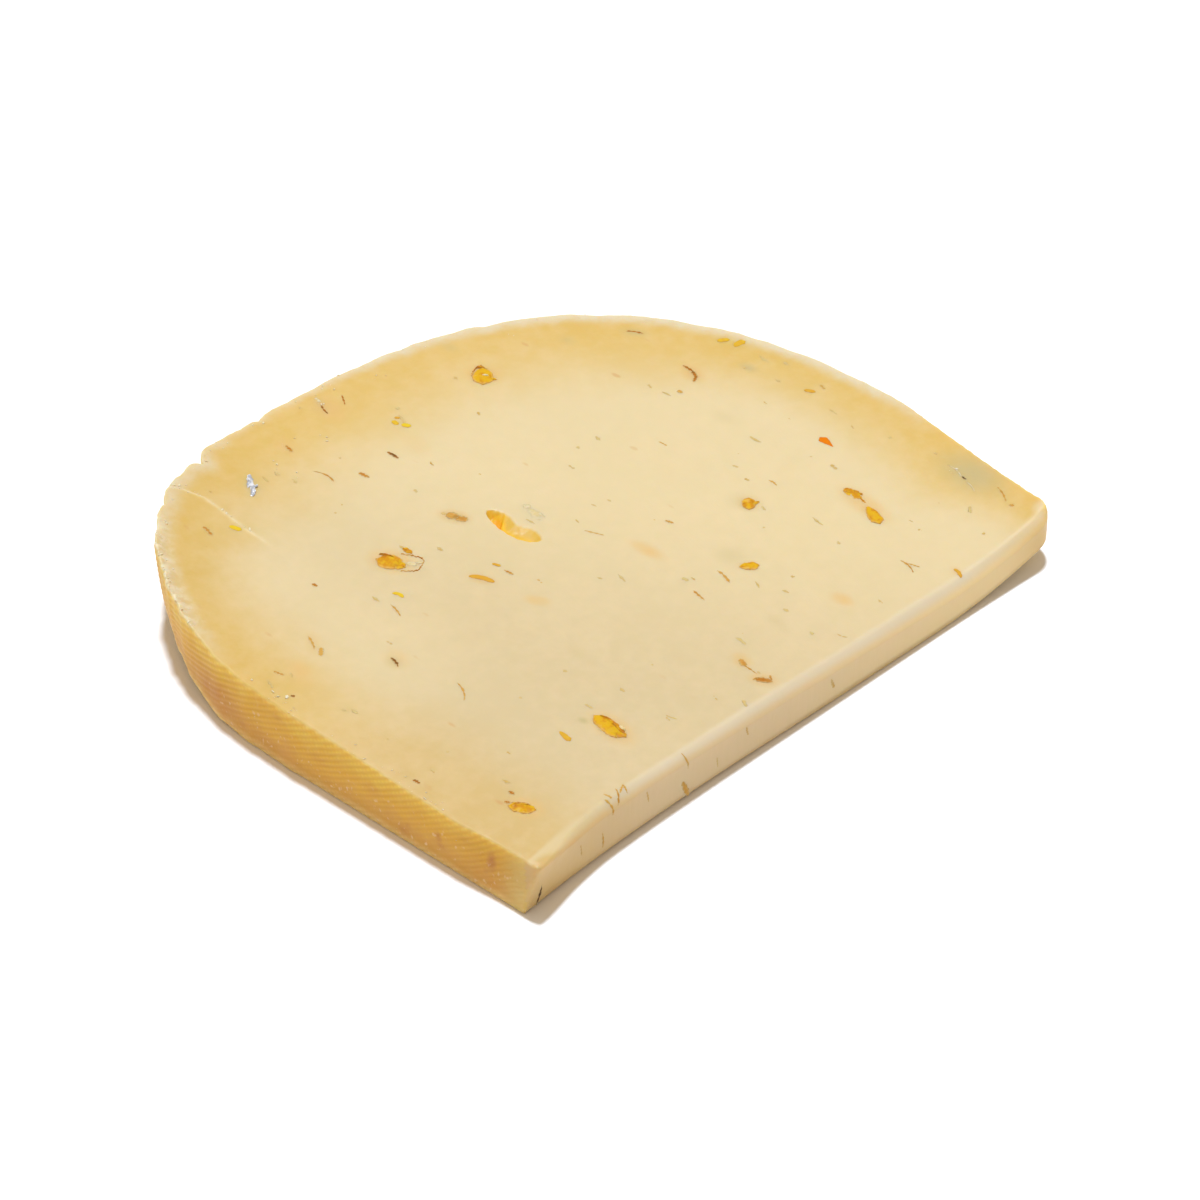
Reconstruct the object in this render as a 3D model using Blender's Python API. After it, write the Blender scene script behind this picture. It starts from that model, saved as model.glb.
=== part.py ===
"""A slice cut across one half of a small pressed cheese wheel, lying on its side.

The slice shows the wheel's half profile: a straight cut in front, a flat of the wheel at each
end of it, and the bulged rim behind. It is thickest at the left shoulder and thinnest at the
right corner, and both of those ends have curled up a little from drying.

The profile is drawn in the wheel's own directions, x along the cut and y from the cut to the
rim, and the finished slice is then set with the middle of its box over the origin.
"""
import bpy
import bmesh
import numpy as np
from math import cos, pi, radians, sin

MM = 0.001

# The half profile of the wheel.
LEFT_FLAT = -34.0 * MM          # x of the left flat of the wheel, which is straight
LEFT_FLAT_END = 30.0 * MM       # y where that flat turns into its shoulder
RIGHT_FLAT = 49.3 * MM          # x of the right flat at its widest
RIGHT_FLAT_END = 26.0 * MM      # y where the right flat is widest and its shoulder starts
RIGHT_FLAT_BOW = 6.0 * MM       # how far the right flat has come in by the cut
BOW_POWER = 1.25
CROWN = 6.0 * MM                # x of the rim's highest point
RIM = 68.7 * MM                 # y of the rim's highest point
LEFT_SHOULDER_POWER = 2.5       # 2 is an ellipse, more is squarer
RIGHT_SHOULDER_POWER = 2.4

# The straight cut, whose left end swings out where the wire went in.
CUT_SWING = 1.2 * MM
LEFT_CORNER_ROUND = 1.1 * MM
RIGHT_CORNER_ROUND = 2.6 * MM

# Shallow scallops along the shoulders and the rim, where the rind tore as it was cut: each is a
# depth, a length along the outline and a phase. They are deepest on the left shoulder.
SCALLOPS = ((0.13 * MM, 5.6 * MM, 0.4), (0.10 * MM, 9.5 * MM, 2.1), (0.06 * MM, 3.7 * MM, 1.0))
LEFT_SCALLOP_GAIN = 1.0
SCALLOP_FADE = 8.0 * MM         # they fade in over this length above the flats

# Thickness, as a plane over x and y.
THICKNESS = 4.94 * MM           # at the middle of the cut
THICKNESS_PER_X = -0.0288
THICKNESS_PER_Y = 0.0347

# The curl: both ends lift beyond this distance from a valley line that crosses the slice.
VALLEY_Y = 21.5 * MM            # where the valley line crosses x = 0
CURL_ANGLE = radians(46.3)
CURL_START = 32.5 * MM
CURL_REACH = 12.0 * MM
CURL_LIFT = 2.2 * MM            # at CURL_START + CURL_REACH

# Edges and walls.
CUT_EDGE_ROUND = 0.95 * MM      # the upper edge of the cut is softened by the wire
RIND_EDGE_ROUND = 0.22 * MM
FOOT_ROUND = 0.35 * MM
WALL_BELLY = 0.12 * MM
SHOULDER_UNDERCUT = 1.2 * MM    # the left shoulder's wall slopes in towards its foot

# The one open eye in the paste, a slit that sinks from the upper face.
EYE_PLACE = (3.9 * MM, 37.1 * MM)
EYE_HALF = (1.05 * MM, 3.6 * MM, 1.9 * MM)
EYE_TURN = radians(4.0)
EYE_RAGGED = 0.16               # unevenness of its wall, as a share of its size

OUTLINE_POINTS = 240
BOTTOM_RINGS = (0.35, 0.70, 0.88)
TOP_RINGS = (0.95, 0.87, 0.72, 0.50, 0.25)
ROUND_STEPS = 4


def smooth(low, high, value):
    """0 below low, 1 above high and a soft step between."""
    t = np.clip((value - low) / (high - low), 0.0, 1.0)
    return t * t * (3.0 - 2.0 * t)


def cut_line(x):
    """The line of the straight cut: level, then swung out at its left end."""
    return -CUT_SWING * np.clip(x / LEFT_FLAT, 0.0, None) ** 3


def right_flat(y):
    """The right flat, from its widest place down to the cut."""
    share = np.clip((RIGHT_FLAT_END - y) / RIGHT_FLAT_END, 0.0, None)
    return RIGHT_FLAT - RIGHT_FLAT_BOW * share ** BOW_POWER


def shoulder(side, foot, power, turn):
    """A quarter of a squared ellipse between a flat of the wheel and the rim's crown."""
    x = CROWN + (side - CROWN) * np.cos(turn) ** (2.0 / power)
    y = foot + (RIM - foot) * np.sin(turn) ** (2.0 / power)
    return np.column_stack((x, y))


def corner(before, tip, after, steps=12):
    """A rounded corner: a quadratic curve that leaves and joins its two sides smoothly."""
    t = np.linspace(0.0, 1.0, steps)[:, None]
    before, tip, after = (np.array(point) for point in (before, tip, after))
    return (1 - t) ** 2 * before + 2 * t * (1 - t) * tip + t ** 2 * after


def profile():
    """The slice's outline, anticlockwise from the left corner, at even steps, without scallops."""
    left_tip = (LEFT_FLAT, cut_line(LEFT_FLAT))
    right_tip = (right_flat(0.0), 0.0)
    cut_x = np.linspace(LEFT_FLAT + LEFT_CORNER_ROUND, right_tip[0] - RIGHT_CORNER_ROUND, 200)
    cut = np.column_stack((cut_x, cut_line(cut_x)))
    flat_y = np.linspace(RIGHT_CORNER_ROUND, RIGHT_FLAT_END, 60)
    flat = np.column_stack((right_flat(flat_y), flat_y))
    turn = np.linspace(0.0, pi / 2, 400)
    right = shoulder(RIGHT_FLAT, RIGHT_FLAT_END, RIGHT_SHOULDER_POWER, turn)
    left = shoulder(LEFT_FLAT, LEFT_FLAT_END, LEFT_SHOULDER_POWER, turn)[::-1]
    end = (LEFT_FLAT, left_tip[1] + LEFT_CORNER_ROUND)
    points = np.vstack((cut, corner(cut[-1], right_tip, flat[0]), flat, right, left,
                        corner(end, left_tip, cut[0])))
    steps = np.linalg.norm(np.diff(points, axis=0), axis=1)
    points = points[1:][steps > 1e-7]
    reach = np.concatenate(([0.0], np.cumsum(np.linalg.norm(np.diff(points, axis=0), axis=1))))
    even = np.linspace(0.0, reach[-1], OUTLINE_POINTS, endpoint=False)
    outline = np.column_stack([np.interp(even, reach, points[:, i]) for i in (0, 1)])
    return outline, even


def outward(outline):
    """Unit normals of the closed outline, pointing away from the cheese."""
    along = np.roll(outline, -1, axis=0) - np.roll(outline, 1, axis=0)
    along /= np.linalg.norm(along, axis=1)[:, None]
    return np.column_stack((along[:, 1], -along[:, 0]))


def scalloped(outline, reach):
    """The outline with its scallops, which the flats of the wheel and the cut don't have."""
    x, y = outline.T
    ripple = sum(depth * np.sin(2 * pi * reach / length + phase)
                 for depth, length, phase in SCALLOPS)
    strength = smooth(RIGHT_FLAT_END, RIGHT_FLAT_END + SCALLOP_FADE, y)
    strength *= 1.0 + LEFT_SCALLOP_GAIN * smooth(CROWN, LEFT_FLAT / 2, x)
    return outline + outward(outline) * (ripple * strength)[:, None]


def curl(x, y):
    """How far the slice has lifted off what it lies on, at a place in plan."""
    across = x * cos(CURL_ANGLE) - (y - VALLEY_Y) * sin(CURL_ANGLE)
    beyond = np.clip(np.abs(across) - CURL_START, 0.0, None)
    return CURL_LIFT * (beyond / CURL_REACH) ** 2


def thickness(x, y):
    return THICKNESS + THICKNESS_PER_X * x + THICKNESS_PER_Y * y


def rings():
    """Closed rings of points, from inside the lower face, round the wall and onto the upper face."""
    outline, reach = profile()
    outline = scalloped(outline, reach)
    normal = outward(outline)
    middle = outline.mean(axis=0)
    x, y = outline.T
    cut_share = smooth(0.35, 0.95, -normal[:, 1]) * (y < RIM / 2)
    edge = RIND_EDGE_ROUND + (CUT_EDGE_ROUND - RIND_EDGE_ROUND) * cut_share
    undercut = SHOULDER_UNDERCUT * smooth(0.60, 0.75, y / RIM) * smooth(0.2, -0.5, x / RIM)
    belly = WALL_BELLY * (1.0 - cut_share)
    wall_height = thickness(x, y)

    def ring(inset, height, scale=1.0):
        """One ring: moved in by inset, then shrunk to scale about the middle."""
        plan = outline - normal * np.asarray(inset)[..., None]
        plan = middle + (plan - middle) * scale
        base = curl(*plan.T)
        return np.column_stack((plan, base + height))

    def wall(share):
        """The wall's inset at a share of its height."""
        return undercut * (1.0 - share) - belly * sin(pi * share)

    result = [ring(wall(0.0) + FOOT_ROUND, 0.0, scale) for scale in BOTTOM_RINGS]
    result.append(ring(wall(0.0) + FOOT_ROUND, np.zeros(len(x))))
    result.append(ring(wall(0.0) + 0.3 * FOOT_ROUND, np.full(len(x), 0.3 * FOOT_ROUND)))
    result.append(ring(wall(0.0), np.full(len(x), FOOT_ROUND)))
    result.append(ring(wall(0.5), 0.5 * wall_height))
    for step in range(ROUND_STEPS + 1):
        turn = pi / 2 * step / ROUND_STEPS
        inset = wall(1.0) + edge * (1.0 - cos(turn))
        result.append(ring(inset, wall_height - edge * (1.0 - sin(turn))))
    for scale in TOP_RINGS:
        plan = ring(edge, 0.0, scale)
        plan[:, 2] += thickness(plan[:, 0], plan[:, 1])
        result.append(plan)
    return result, middle


def material(name, colour, roughness):
    made = bpy.data.materials.new(name)
    made.use_nodes = True
    shader = made.node_tree.nodes["Principled BSDF"]
    shader.inputs["Base Color"].default_value = (*colour, 1.0)
    shader.inputs["Roughness"].default_value = roughness
    shader.inputs["Metallic"].default_value = 0.0
    return made


def slab():
    """The whole slice as one closed mesh, still in the wheel's directions."""
    stack, middle = rings()
    mesh = bmesh.new()
    loops = [[mesh.verts.new(point) for point in ring] for ring in stack]
    count = OUTLINE_POINTS
    for low, high in zip(loops, loops[1:]):
        for i in range(count):
            j = (i + 1) % count
            mesh.faces.new((low[i], low[j], high[j], high[i]))
    below = mesh.verts.new((*middle, curl(*middle)))
    above = mesh.verts.new((*middle, curl(*middle) + thickness(*middle)))
    for i in range(count):
        j = (i + 1) % count
        mesh.faces.new((below, loops[0][j], loops[0][i]))
        mesh.faces.new((above, loops[-1][i], loops[-1][j]))
    return mesh


def eye_cutter(shift):
    """The rough slit that the open eye leaves, as a cutter sunk halfway into the upper face."""
    mesh = bmesh.new()
    bmesh.ops.create_icosphere(mesh, subdivisions=3, radius=1.0)
    for vert in mesh.verts:
        x, y, z = vert.co
        rough = sin(3.1 * x + 2.0 * z) * cos(4.3 * y + 0.8) + 0.6 * sin(7.0 * y + 2.5 * x)
        vert.co *= 1.0 + EYE_RAGGED * rough
        vert.co.x *= EYE_HALF[0]
        vert.co.y *= EYE_HALF[1]
        vert.co.z *= EYE_HALF[2]
    data = bpy.data.meshes.new("eye_cutter")
    mesh.to_mesh(data)
    mesh.free()
    cutter = bpy.data.objects.new("eye_cutter", data)
    bpy.context.collection.objects.link(cutter)
    x, y = EYE_PLACE
    cutter.location = (x - shift[0], y - shift[1], thickness(x, y) - shift[2])
    cutter.rotation_euler.z = EYE_TURN
    cutter.hide_render = True
    cutter.display_type = "WIRE"
    return cutter


def cheese_slice():
    """The slice itself, with the middle of its box over the origin and its foot at z = 0."""
    mesh = slab()
    places = np.array([vert.co for vert in mesh.verts])
    shift = (places.min(axis=0) + places.max(axis=0)) / 2
    shift[2] = places[:, 2].min()
    bmesh.ops.translate(mesh, verts=mesh.verts, vec=-shift)
    bmesh.ops.recalc_face_normals(mesh, faces=mesh.faces)
    data = bpy.data.meshes.new("cheese_slice")
    mesh.to_mesh(data)
    mesh.free()
    data.shade_smooth()
    data.set_sharp_from_angle(angle=radians(40.0))
    data.materials.append(material("cheese_paste", (0.84, 0.64, 0.34), 0.45))
    piece = bpy.data.objects.new("cheese_slice", data)
    bpy.context.collection.objects.link(piece)
    cut = piece.modifiers.new("open_eye", "BOOLEAN")
    cut.operation = "DIFFERENCE"
    cut.solver = "EXACT"
    cut.object = eye_cutter(shift)
    return piece


for old in list(bpy.data.objects):
    bpy.data.objects.remove(old, do_unlink=True)
cheese_slice()
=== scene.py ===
"""A slice cut across half of a small pressed cheese wheel, with golden seeds in its paste.

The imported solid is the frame. This script lays the fine surface of the cheese over it and then
adds, in the order a maker would meet them, the seeds, the husks and the crumbs of the cut.
Lengths are written in millimetres times MM.
"""
from math import atan2, cos, pi, radians, sin, sqrt, tan

import bmesh
import bpy
import numpy as np
from mathutils import Matrix, Vector, noise
from mathutils.geometry import delaunay_2d_cdt


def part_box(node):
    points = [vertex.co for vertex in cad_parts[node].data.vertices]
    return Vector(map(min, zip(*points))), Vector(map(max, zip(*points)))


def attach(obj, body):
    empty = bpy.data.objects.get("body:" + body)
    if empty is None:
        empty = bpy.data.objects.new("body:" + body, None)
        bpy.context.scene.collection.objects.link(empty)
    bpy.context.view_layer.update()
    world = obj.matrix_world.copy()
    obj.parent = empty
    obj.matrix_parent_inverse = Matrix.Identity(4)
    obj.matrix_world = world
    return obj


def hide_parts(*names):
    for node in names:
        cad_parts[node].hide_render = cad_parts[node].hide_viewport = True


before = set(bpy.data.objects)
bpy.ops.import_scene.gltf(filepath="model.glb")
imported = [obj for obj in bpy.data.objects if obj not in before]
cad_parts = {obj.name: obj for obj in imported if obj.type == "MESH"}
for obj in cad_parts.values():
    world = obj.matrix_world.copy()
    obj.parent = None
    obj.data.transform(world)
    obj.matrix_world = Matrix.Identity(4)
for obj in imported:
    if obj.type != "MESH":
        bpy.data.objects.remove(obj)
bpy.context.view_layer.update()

# ------------------------------------------------------------------ the slice, paste and rind
# One piece of pressed curd, cut through by a wire and laid on its side. The paste is smooth and
# slightly waxy. The rind is the same curd, dried to a golden skin that keeps the ribs of the
# cloth it was pressed in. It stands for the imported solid, whose profile it repeats.

MM = 0.001
LEFT_FLAT, LEFT_FLAT_END = -34.0 * MM, 30.0 * MM
RIGHT_FLAT, RIGHT_FLAT_END, RIGHT_FLAT_BOW = 49.3 * MM, 26.0 * MM, 6.0 * MM
CROWN, RIM = 6.0 * MM, 68.7 * MM
LEFT_SHOULDER_POWER, RIGHT_SHOULDER_POWER, BOW_POWER = 2.5, 2.4, 1.25
CUT_SWING, LEFT_CORNER_ROUND, RIGHT_CORNER_ROUND = 1.2 * MM, 0.6 * MM, 2.4 * MM
RIPPLES = ((0.05 * MM, 5.6 * MM, 0.4), (0.06 * MM, 9.5 * MM, 2.1), (0.03 * MM, 3.7 * MM, 1.0))
RIPPLE_FADE = 8.0 * MM
THICKNESS, THICKNESS_PER_X, THICKNESS_PER_Y = 4.94 * MM, -0.0288, 0.0347
VALLEY_Y, CURL_ANGLE = 21.5 * MM, radians(46.3)
CURL_START, CURL_REACH, CURL_LIFT = 32.5 * MM, 12.0 * MM, 2.2 * MM
CUT_EDGE, CUT_EDGE_GROWTH, CUT_EDGE_POWER = 0.95 * MM, 0.35 * MM, 1.45
RIND_EDGE, RIND_EDGE_POWER, FOOT_ROUND = 0.16 * MM, 2.0, 0.24 * MM
WALL_BELLY, SHOULDER_UNDERCUT = 0.12 * MM, 0.8 * MM
CHIPS = ((-12.8, 65.4, 1.1, 1.1), (-2.5, 68.5, 0.55, 1.2), (17.5, 67.4, 0.22, 1.5),
         (27.2, 65.0, 0.25, 1.5), (-21.5, 61.5, 0.3, 1.0), (38.0, 58.3, 0.18, 1.6))
OUTLINE_POINTS = 900
WALL_ROWS = 60


def smooth(low, high, value):
    """0 below low, 1 above high and a soft step between."""
    t = np.clip((value - low) / (high - low), 0.0, 1.0)
    return t * t * (3.0 - 2.0 * t)


def cut_line(x):
    return -CUT_SWING * np.clip(x / LEFT_FLAT, 0.0, None) ** 3


def cut_edge(x):
    """How broad the pressed-down edge of the cut is, broader towards the thin end."""
    return (CUT_EDGE + CUT_EDGE_GROWTH * smooth(LEFT_FLAT, RIGHT_FLAT, x)) * (
        0.4 + 0.6 * smooth(LEFT_FLAT, LEFT_FLAT + 8 * MM, x))


def right_flat(y):
    share = np.clip((RIGHT_FLAT_END - y) / RIGHT_FLAT_END, 0.0, None)
    return RIGHT_FLAT - RIGHT_FLAT_BOW * share ** BOW_POWER


def shoulder(side, foot, power, turn):
    """A quarter of a squared ellipse between a flat of the wheel and the rim's crown."""
    return np.column_stack((CROWN + (side - CROWN) * np.cos(turn) ** (2.0 / power),
                            foot + (RIM - foot) * np.sin(turn) ** (2.0 / power)))


def corner(before, tip, after, steps=12):
    t = np.linspace(0.0, 1.0, steps)[:, None]
    before, tip, after = (np.array(point) for point in (before, tip, after))
    return (1 - t) ** 2 * before + 2 * t * (1 - t) * tip + t ** 2 * after


def profile():
    """The slice's outline at even steps, anticlockwise from the left end of the cut."""
    left_tip = (LEFT_FLAT, cut_line(LEFT_FLAT))
    right_tip = (right_flat(0.0), 0.0)
    cut_x = np.linspace(LEFT_FLAT + LEFT_CORNER_ROUND, right_tip[0] - RIGHT_CORNER_ROUND, 200)
    flat_y = np.linspace(RIGHT_CORNER_ROUND, RIGHT_FLAT_END, 60)
    turn = np.linspace(0.0, pi / 2, 900)
    cut = np.column_stack((cut_x, cut_line(cut_x)))
    flat = np.column_stack((right_flat(flat_y), flat_y))
    right = shoulder(RIGHT_FLAT, RIGHT_FLAT_END, RIGHT_SHOULDER_POWER, turn)
    left = shoulder(LEFT_FLAT, LEFT_FLAT_END, LEFT_SHOULDER_POWER, turn)[::-1]
    end = (LEFT_FLAT, left_tip[1] + LEFT_CORNER_ROUND)
    points = np.vstack((cut, corner(cut[-1], right_tip, flat[0]), flat, right, left,
                        corner(end, left_tip, cut[0])))
    steps = np.linalg.norm(np.diff(points, axis=0), axis=1)
    points = points[1:][steps > 1e-7]
    reach = np.concatenate(([0.0], np.cumsum(np.linalg.norm(np.diff(points, axis=0), axis=1))))
    even = np.linspace(0.0, reach[-1], OUTLINE_POINTS, endpoint=False)
    return np.column_stack([np.interp(even, reach, points[:, i]) for i in (0, 1)]), even


def outward(outline):
    along = np.roll(outline, -1, axis=0) - np.roll(outline, 1, axis=0)
    along /= np.linalg.norm(along, axis=1)[:, None]
    return np.column_stack((along[:, 1], -along[:, 0]))


def torn(outline, reach):
    """The tear of the rind: faint ripples on the shoulders and the rim, and chips torn out."""
    strength = smooth(RIGHT_FLAT_END, RIGHT_FLAT_END + RIPPLE_FADE, outline[:, 1])
    shift = strength * sum(depth * np.sin(2 * pi * reach / length + phase)
                           for depth, length, phase in RIPPLES)
    for x, y, depth, width in CHIPS:
        gap = reach - reach[np.hypot(*(outline - (x * MM, y * MM)).T).argmin()]
        side = np.where(gap > 0, 0.45, 1.0)
        shift -= depth * MM * np.exp(-np.abs(gap) / (width * MM * side))
        shift += depth * 0.3 * MM * np.exp(-((gap + 2.4 * width * MM) / (1.6 * width * MM)) ** 2)
    return outline + outward(outline) * shift[:, None]


def curl(x, y):
    """How far the slice has lifted off what it lies on."""
    across = x * cos(CURL_ANGLE) - (y - VALLEY_Y) * sin(CURL_ANGLE)
    return CURL_LIFT * (np.clip(np.abs(across) - CURL_START, 0.0, None) / CURL_REACH) ** 2


def thickness(x, y):
    return THICKNESS + THICKNESS_PER_X * x + THICKNESS_PER_Y * y


def rough(points, size, seed=0.0):
    """Smooth noise between -1 and 1 at each point, with features of that size."""
    return np.array([noise.noise(Vector((*point, 0.0)[:3]) / size + Vector((seed, 0.7, 1.3 * seed)))
                     for point in points])


outline, reach = profile()
outline = torn(outline, reach)
cheese_low, cheese_high = (Vector(point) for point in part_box("cheese_slice"))
to_part = np.array((cheese_high.x - outline[:, 0].max(), cheese_low.y - outline[:, 1].min()))
normal = outward(outline)
cut_share = smooth(np.where(outline[:, 0] > 0, 0.3, 0.78), 0.97, -normal[:, 1])
cut_share *= outline[:, 1] < RIM / 2
wall_height = thickness(*outline.T)
on_part = outline + to_part

# The lip that the knife left standing along the left shoulder, and the fine tear of the rind.
LIP_HEIGHT, LIP_WIDTH = 0.28 * MM, 1.0 * MM
lip = smooth(9 * MM, 16 * MM, on_part[:, 1]) * smooth(28 * MM, 22 * MM, on_part[:, 1])
lip *= (on_part[:, 0] < -24 * MM) * (0.9 + 1.6 * rough(outline, 0.8 * MM, 2.0)).clip(0.0, 2.0)
tear = rough(outline, 0.9 * MM) * 0.5 + rough(outline, 0.42 * MM, 5.0) * 0.35
tear *= 0.15 * MM * (1.0 - cut_share) * (1.0 + 1.5 * np.clip(lip, 0.0, 1.0))
edge = RIND_EDGE + (cut_edge(outline[:, 0]) - RIND_EDGE) * cut_share
edge_power = RIND_EDGE_POWER + (CUT_EDGE_POWER - RIND_EDGE_POWER) * cut_share
foot_round = FOOT_ROUND * (1.0 + 1.8 * cut_share * smooth(15 * MM, -10 * MM, outline[:, 0]))
undercut = (SHOULDER_UNDERCUT * smooth(0.60, 0.75, outline[:, 1] / RIM)
            * smooth(0.2, -0.5, outline[:, 0] / RIM))

# The front corner leans: the wire came through it askew.
LEAN_REACH = 13.0 * MM
lean = np.column_stack((
    0.6 * MM * smooth(9 * MM, 0.5 * MM, outline[:, 1])
    * smooth(LEFT_FLAT + 7 * MM, LEFT_FLAT + 1 * MM, outline[:, 0]),
    -1.25 * MM * smooth(LEFT_FLAT + LEAN_REACH, LEFT_FLAT, outline[:, 0])
    * smooth(3 * MM, 0.0, outline[:, 1])))

# The ribs that the cloth printed, which climb towards the front corner and climb faster there.
RIB_RISE, RIB_EASE, RIBS_PER_METRE, RIB_DEPTH = 0.65, 3.0, 1500.0, 0.03 * MM


worn = rough(outline, 2.6 * MM, 8.0)


def rib_count(height, along):
    """How many ribs lie below a place on the rind, counted up from the front corner's foot."""
    from_corner = reach[-1] - along
    return (height + RIB_RISE * from_corner - RIB_EASE * from_corner ** 2) * RIBS_PER_METRE


# The eye: a slit that sank where a bubble closed, crisp on its near side and sloping on the far.
EYE_NEAR = ((-0.45, -3.5), (-0.2, -4.1), (0.3, -4.75), (1.4, -5.3), (2.9, -5.43), (4.3, -5.29),
            (5.2, -5.05), (5.9, -4.85), (6.6, -4.5), (7.2, -3.9))
EYE_FAR = ((-0.45, -3.3), (0.2, -2.8), (1.2, -2.4), (1.9, -2.45), (2.6, -2.95), (3.4, -3.15),
           (4.5, -2.6), (5.7, -2.7), (6.6, -3.05), (7.2, -3.8))
EYE_DEPTH = 0.8 * MM


def eye_across(x, y):
    """How far a place lies from the eye's near side, at 0, to its far side, at 1."""
    near, far = (np.interp(y, *(np.array(side) * MM).T) for side in (EYE_NEAR, EYE_FAR))
    ragged = 0.09 * MM * rough(np.column_stack((x, y)), 0.45 * MM, 5.0)
    return (x - near + ragged) / np.maximum(far - near, 0.1 * MM)


def eye_fold(x, y):
    """How far a place lies beyond the fold that parts the eye's deep half from the shallow."""
    return y - 3.95 * MM - 0.65 * (x + 5.4 * MM)


def eye_depth(x, y):
    """How far the eye sinks below the upper face, from 0 outside it to 1 at its floor."""
    across = eye_across(x, y)
    inside = (across > 0) & (across < 1) & (y > EYE_NEAR[0][0] * MM) & (y < EYE_NEAR[-1][0] * MM)
    left_part = smooth(-0.18 * MM, 0.12 * MM, eye_fold(x, y))
    bowl = smooth(0.0, 0.16, across) * smooth(1.0, 0.20, across)
    ends = smooth(-0.45 * MM, 0.5 * MM, y) * smooth(7.2 * MM, 6.1 * MM, y)
    return bowl * ends * inside * (0.55 + 0.45 * left_part)


# The golden seeds, each with its place, length, width, heading in degrees, bend and taper.
SEEDS = ((-20.6, -26.1, 5.4, 1.95, -95, 0.10, 0.05), (-17.6, 7.5, 3.5, 2.1, -72, 0.0, -0.25),
         (13.0, 24.4, 3.0, 2.6, 45, 0.0, 0.1), (-35.5, -28.8, 2.6, 1.8, -58, 0.0, 0.0),
         (16.35, -10.05, 2.1, 1.8, 43, 0.0, 0.0), (8.4, -17.3, 2.1, 1.5, -34, 0.0, 0.15),
         (24.3, -19.9, 3.2, 1.7, -110, 0.0, -0.45),
         (-15.0, 7.6, 1.0, 0.6, -80, 0.0, 0.0))


def seed_gap(x, y, seed):
    """The distance from a seed's middle, 1 on its outline, for the socket it lies in."""
    middle_x, middle_y, length, width, heading, _, _ = seed
    turn = radians(heading)
    ahead = (x - middle_x * MM) * cos(turn) + (y - middle_y * MM) * sin(turn)
    aside = (y - middle_y * MM) * cos(turn) - (x - middle_x * MM) * sin(turn)
    return np.hypot(ahead / (length * MM / 2), aside / (width * MM / 2))


CREASE = ((-27.4, 30.3), (-25.3, 28.9), (-24.1, 26.9), (-23.9, 24.5), (-24.1, 21.0), (-24.0, 18.6))


def crease_side(x, y):
    """How far a place lies beyond the crease, from the side of the left shoulder."""
    at = np.array(CREASE)[::-1] * MM
    return x - np.interp(y, at[:, 1], at[:, 0])


def relief(x, y):
    """The fine relief of the upper face, added to its plain height."""
    points = np.column_stack((x, y))
    waves = 0.07 * rough(points, 13 * MM) + 0.022 * rough(points, 3.1 * MM, 3.0)
    step = 0.16 * smooth(0.35 * MM, -0.25 * MM, crease_side(x, y))
    step *= smooth(17 * MM, 20 * MM, y) * smooth(34 * MM, 30 * MM, y)
    sockets = sum(0.02 * np.exp(-((seed_gap(x, y, seed) - 1.08) / 0.12) ** 2)
                  + 0.06 * smooth(1.1, 0.8, seed_gap(x, y, seed)) for seed in SEEDS)
    return (waves + step - sockets) * MM - EYE_DEPTH * eye_depth(x, y)


def face_height(x, y):
    """The height of the upper face at places in the part's own frame."""
    own_x, own_y = x - to_part[0], y - to_part[1]
    return curl(own_x, own_y) + thickness(own_x, own_y) + relief(x, y) + cheese_low.z


def corner_lean(x):
    """How far the upper edge of the cut leans out over its foot."""
    return 1.25 * MM * smooth(LEFT_FLAT + LEAN_REACH, LEFT_FLAT, x)


def on_top(x, y, lift):
    """A place on the upper face, down over the rounded edge of the cut, lifted off it."""
    own_x, own_y = x - to_part[0], y - to_part[1]
    reached = np.clip((own_y - cut_line(own_x) + corner_lean(own_x)) / cut_edge(own_x), 0.0, 1.0)
    drop = cut_edge(own_x) * (1.0 - (1.0 - (1.0 - reached) ** CUT_EDGE_POWER)
                              ** (1.0 / CUT_EDGE_POWER))
    over = np.clip(cut_line(own_x) - corner_lean(own_x) - own_y, 0.0, None)
    return np.column_stack((x, y + over, face_height(x, y) - drop - over + lift))


def on_cut(x, height, lift):
    """A place on the cut side at a height above its foot, lifted off it."""
    own_x = x - to_part[0]
    full = thickness(own_x, 0.0)
    height = np.clip(height, 0.0, full)
    rounded = np.clip(1.0 - (full - height) / cut_edge(own_x), 0.0, 1.0)
    inset = cut_edge(own_x) * (1.0 - (1.0 - rounded ** CUT_EDGE_POWER) ** (1.0 / CUT_EDGE_POWER))
    y = cut_line(own_x) + to_part[1] - corner_lean(own_x) * (height / full) ** 1.5 + inset
    return np.column_stack((x, y - lift, height + curl(own_x, 0.0) + cheese_low.z))


def nearest_gap(places, line):
    """Each place's distance to a line of points, and the nearest point's index."""
    index = np.empty(len(places), dtype=int)
    gap = np.empty(len(places))
    for start in range(0, len(places), 2000):
        away = places[start:start + 2000, None, :] - line[None, :, :]
        square = np.einsum("ijk,ijk->ij", away, away)
        index[start:start + 2000] = square.argmin(axis=1)
        gap[start:start + 2000] = np.sqrt(square.min(axis=1))
    return gap, index


def within(places, line):
    """Whether each place lies inside the closed line."""
    inside = np.zeros(len(places), dtype=bool)
    for (x0, y0), (x1, y1) in zip(line, np.roll(line, -1, axis=0)):
        if y0 != y1:
            crosses = (places[:, 1] > min(y0, y1)) & (places[:, 1] <= max(y0, y1))
            inside ^= crosses & (places[:, 0] < x0 + (places[:, 1] - y0) * (x1 - x0) / (y1 - y0))
    return inside


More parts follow.
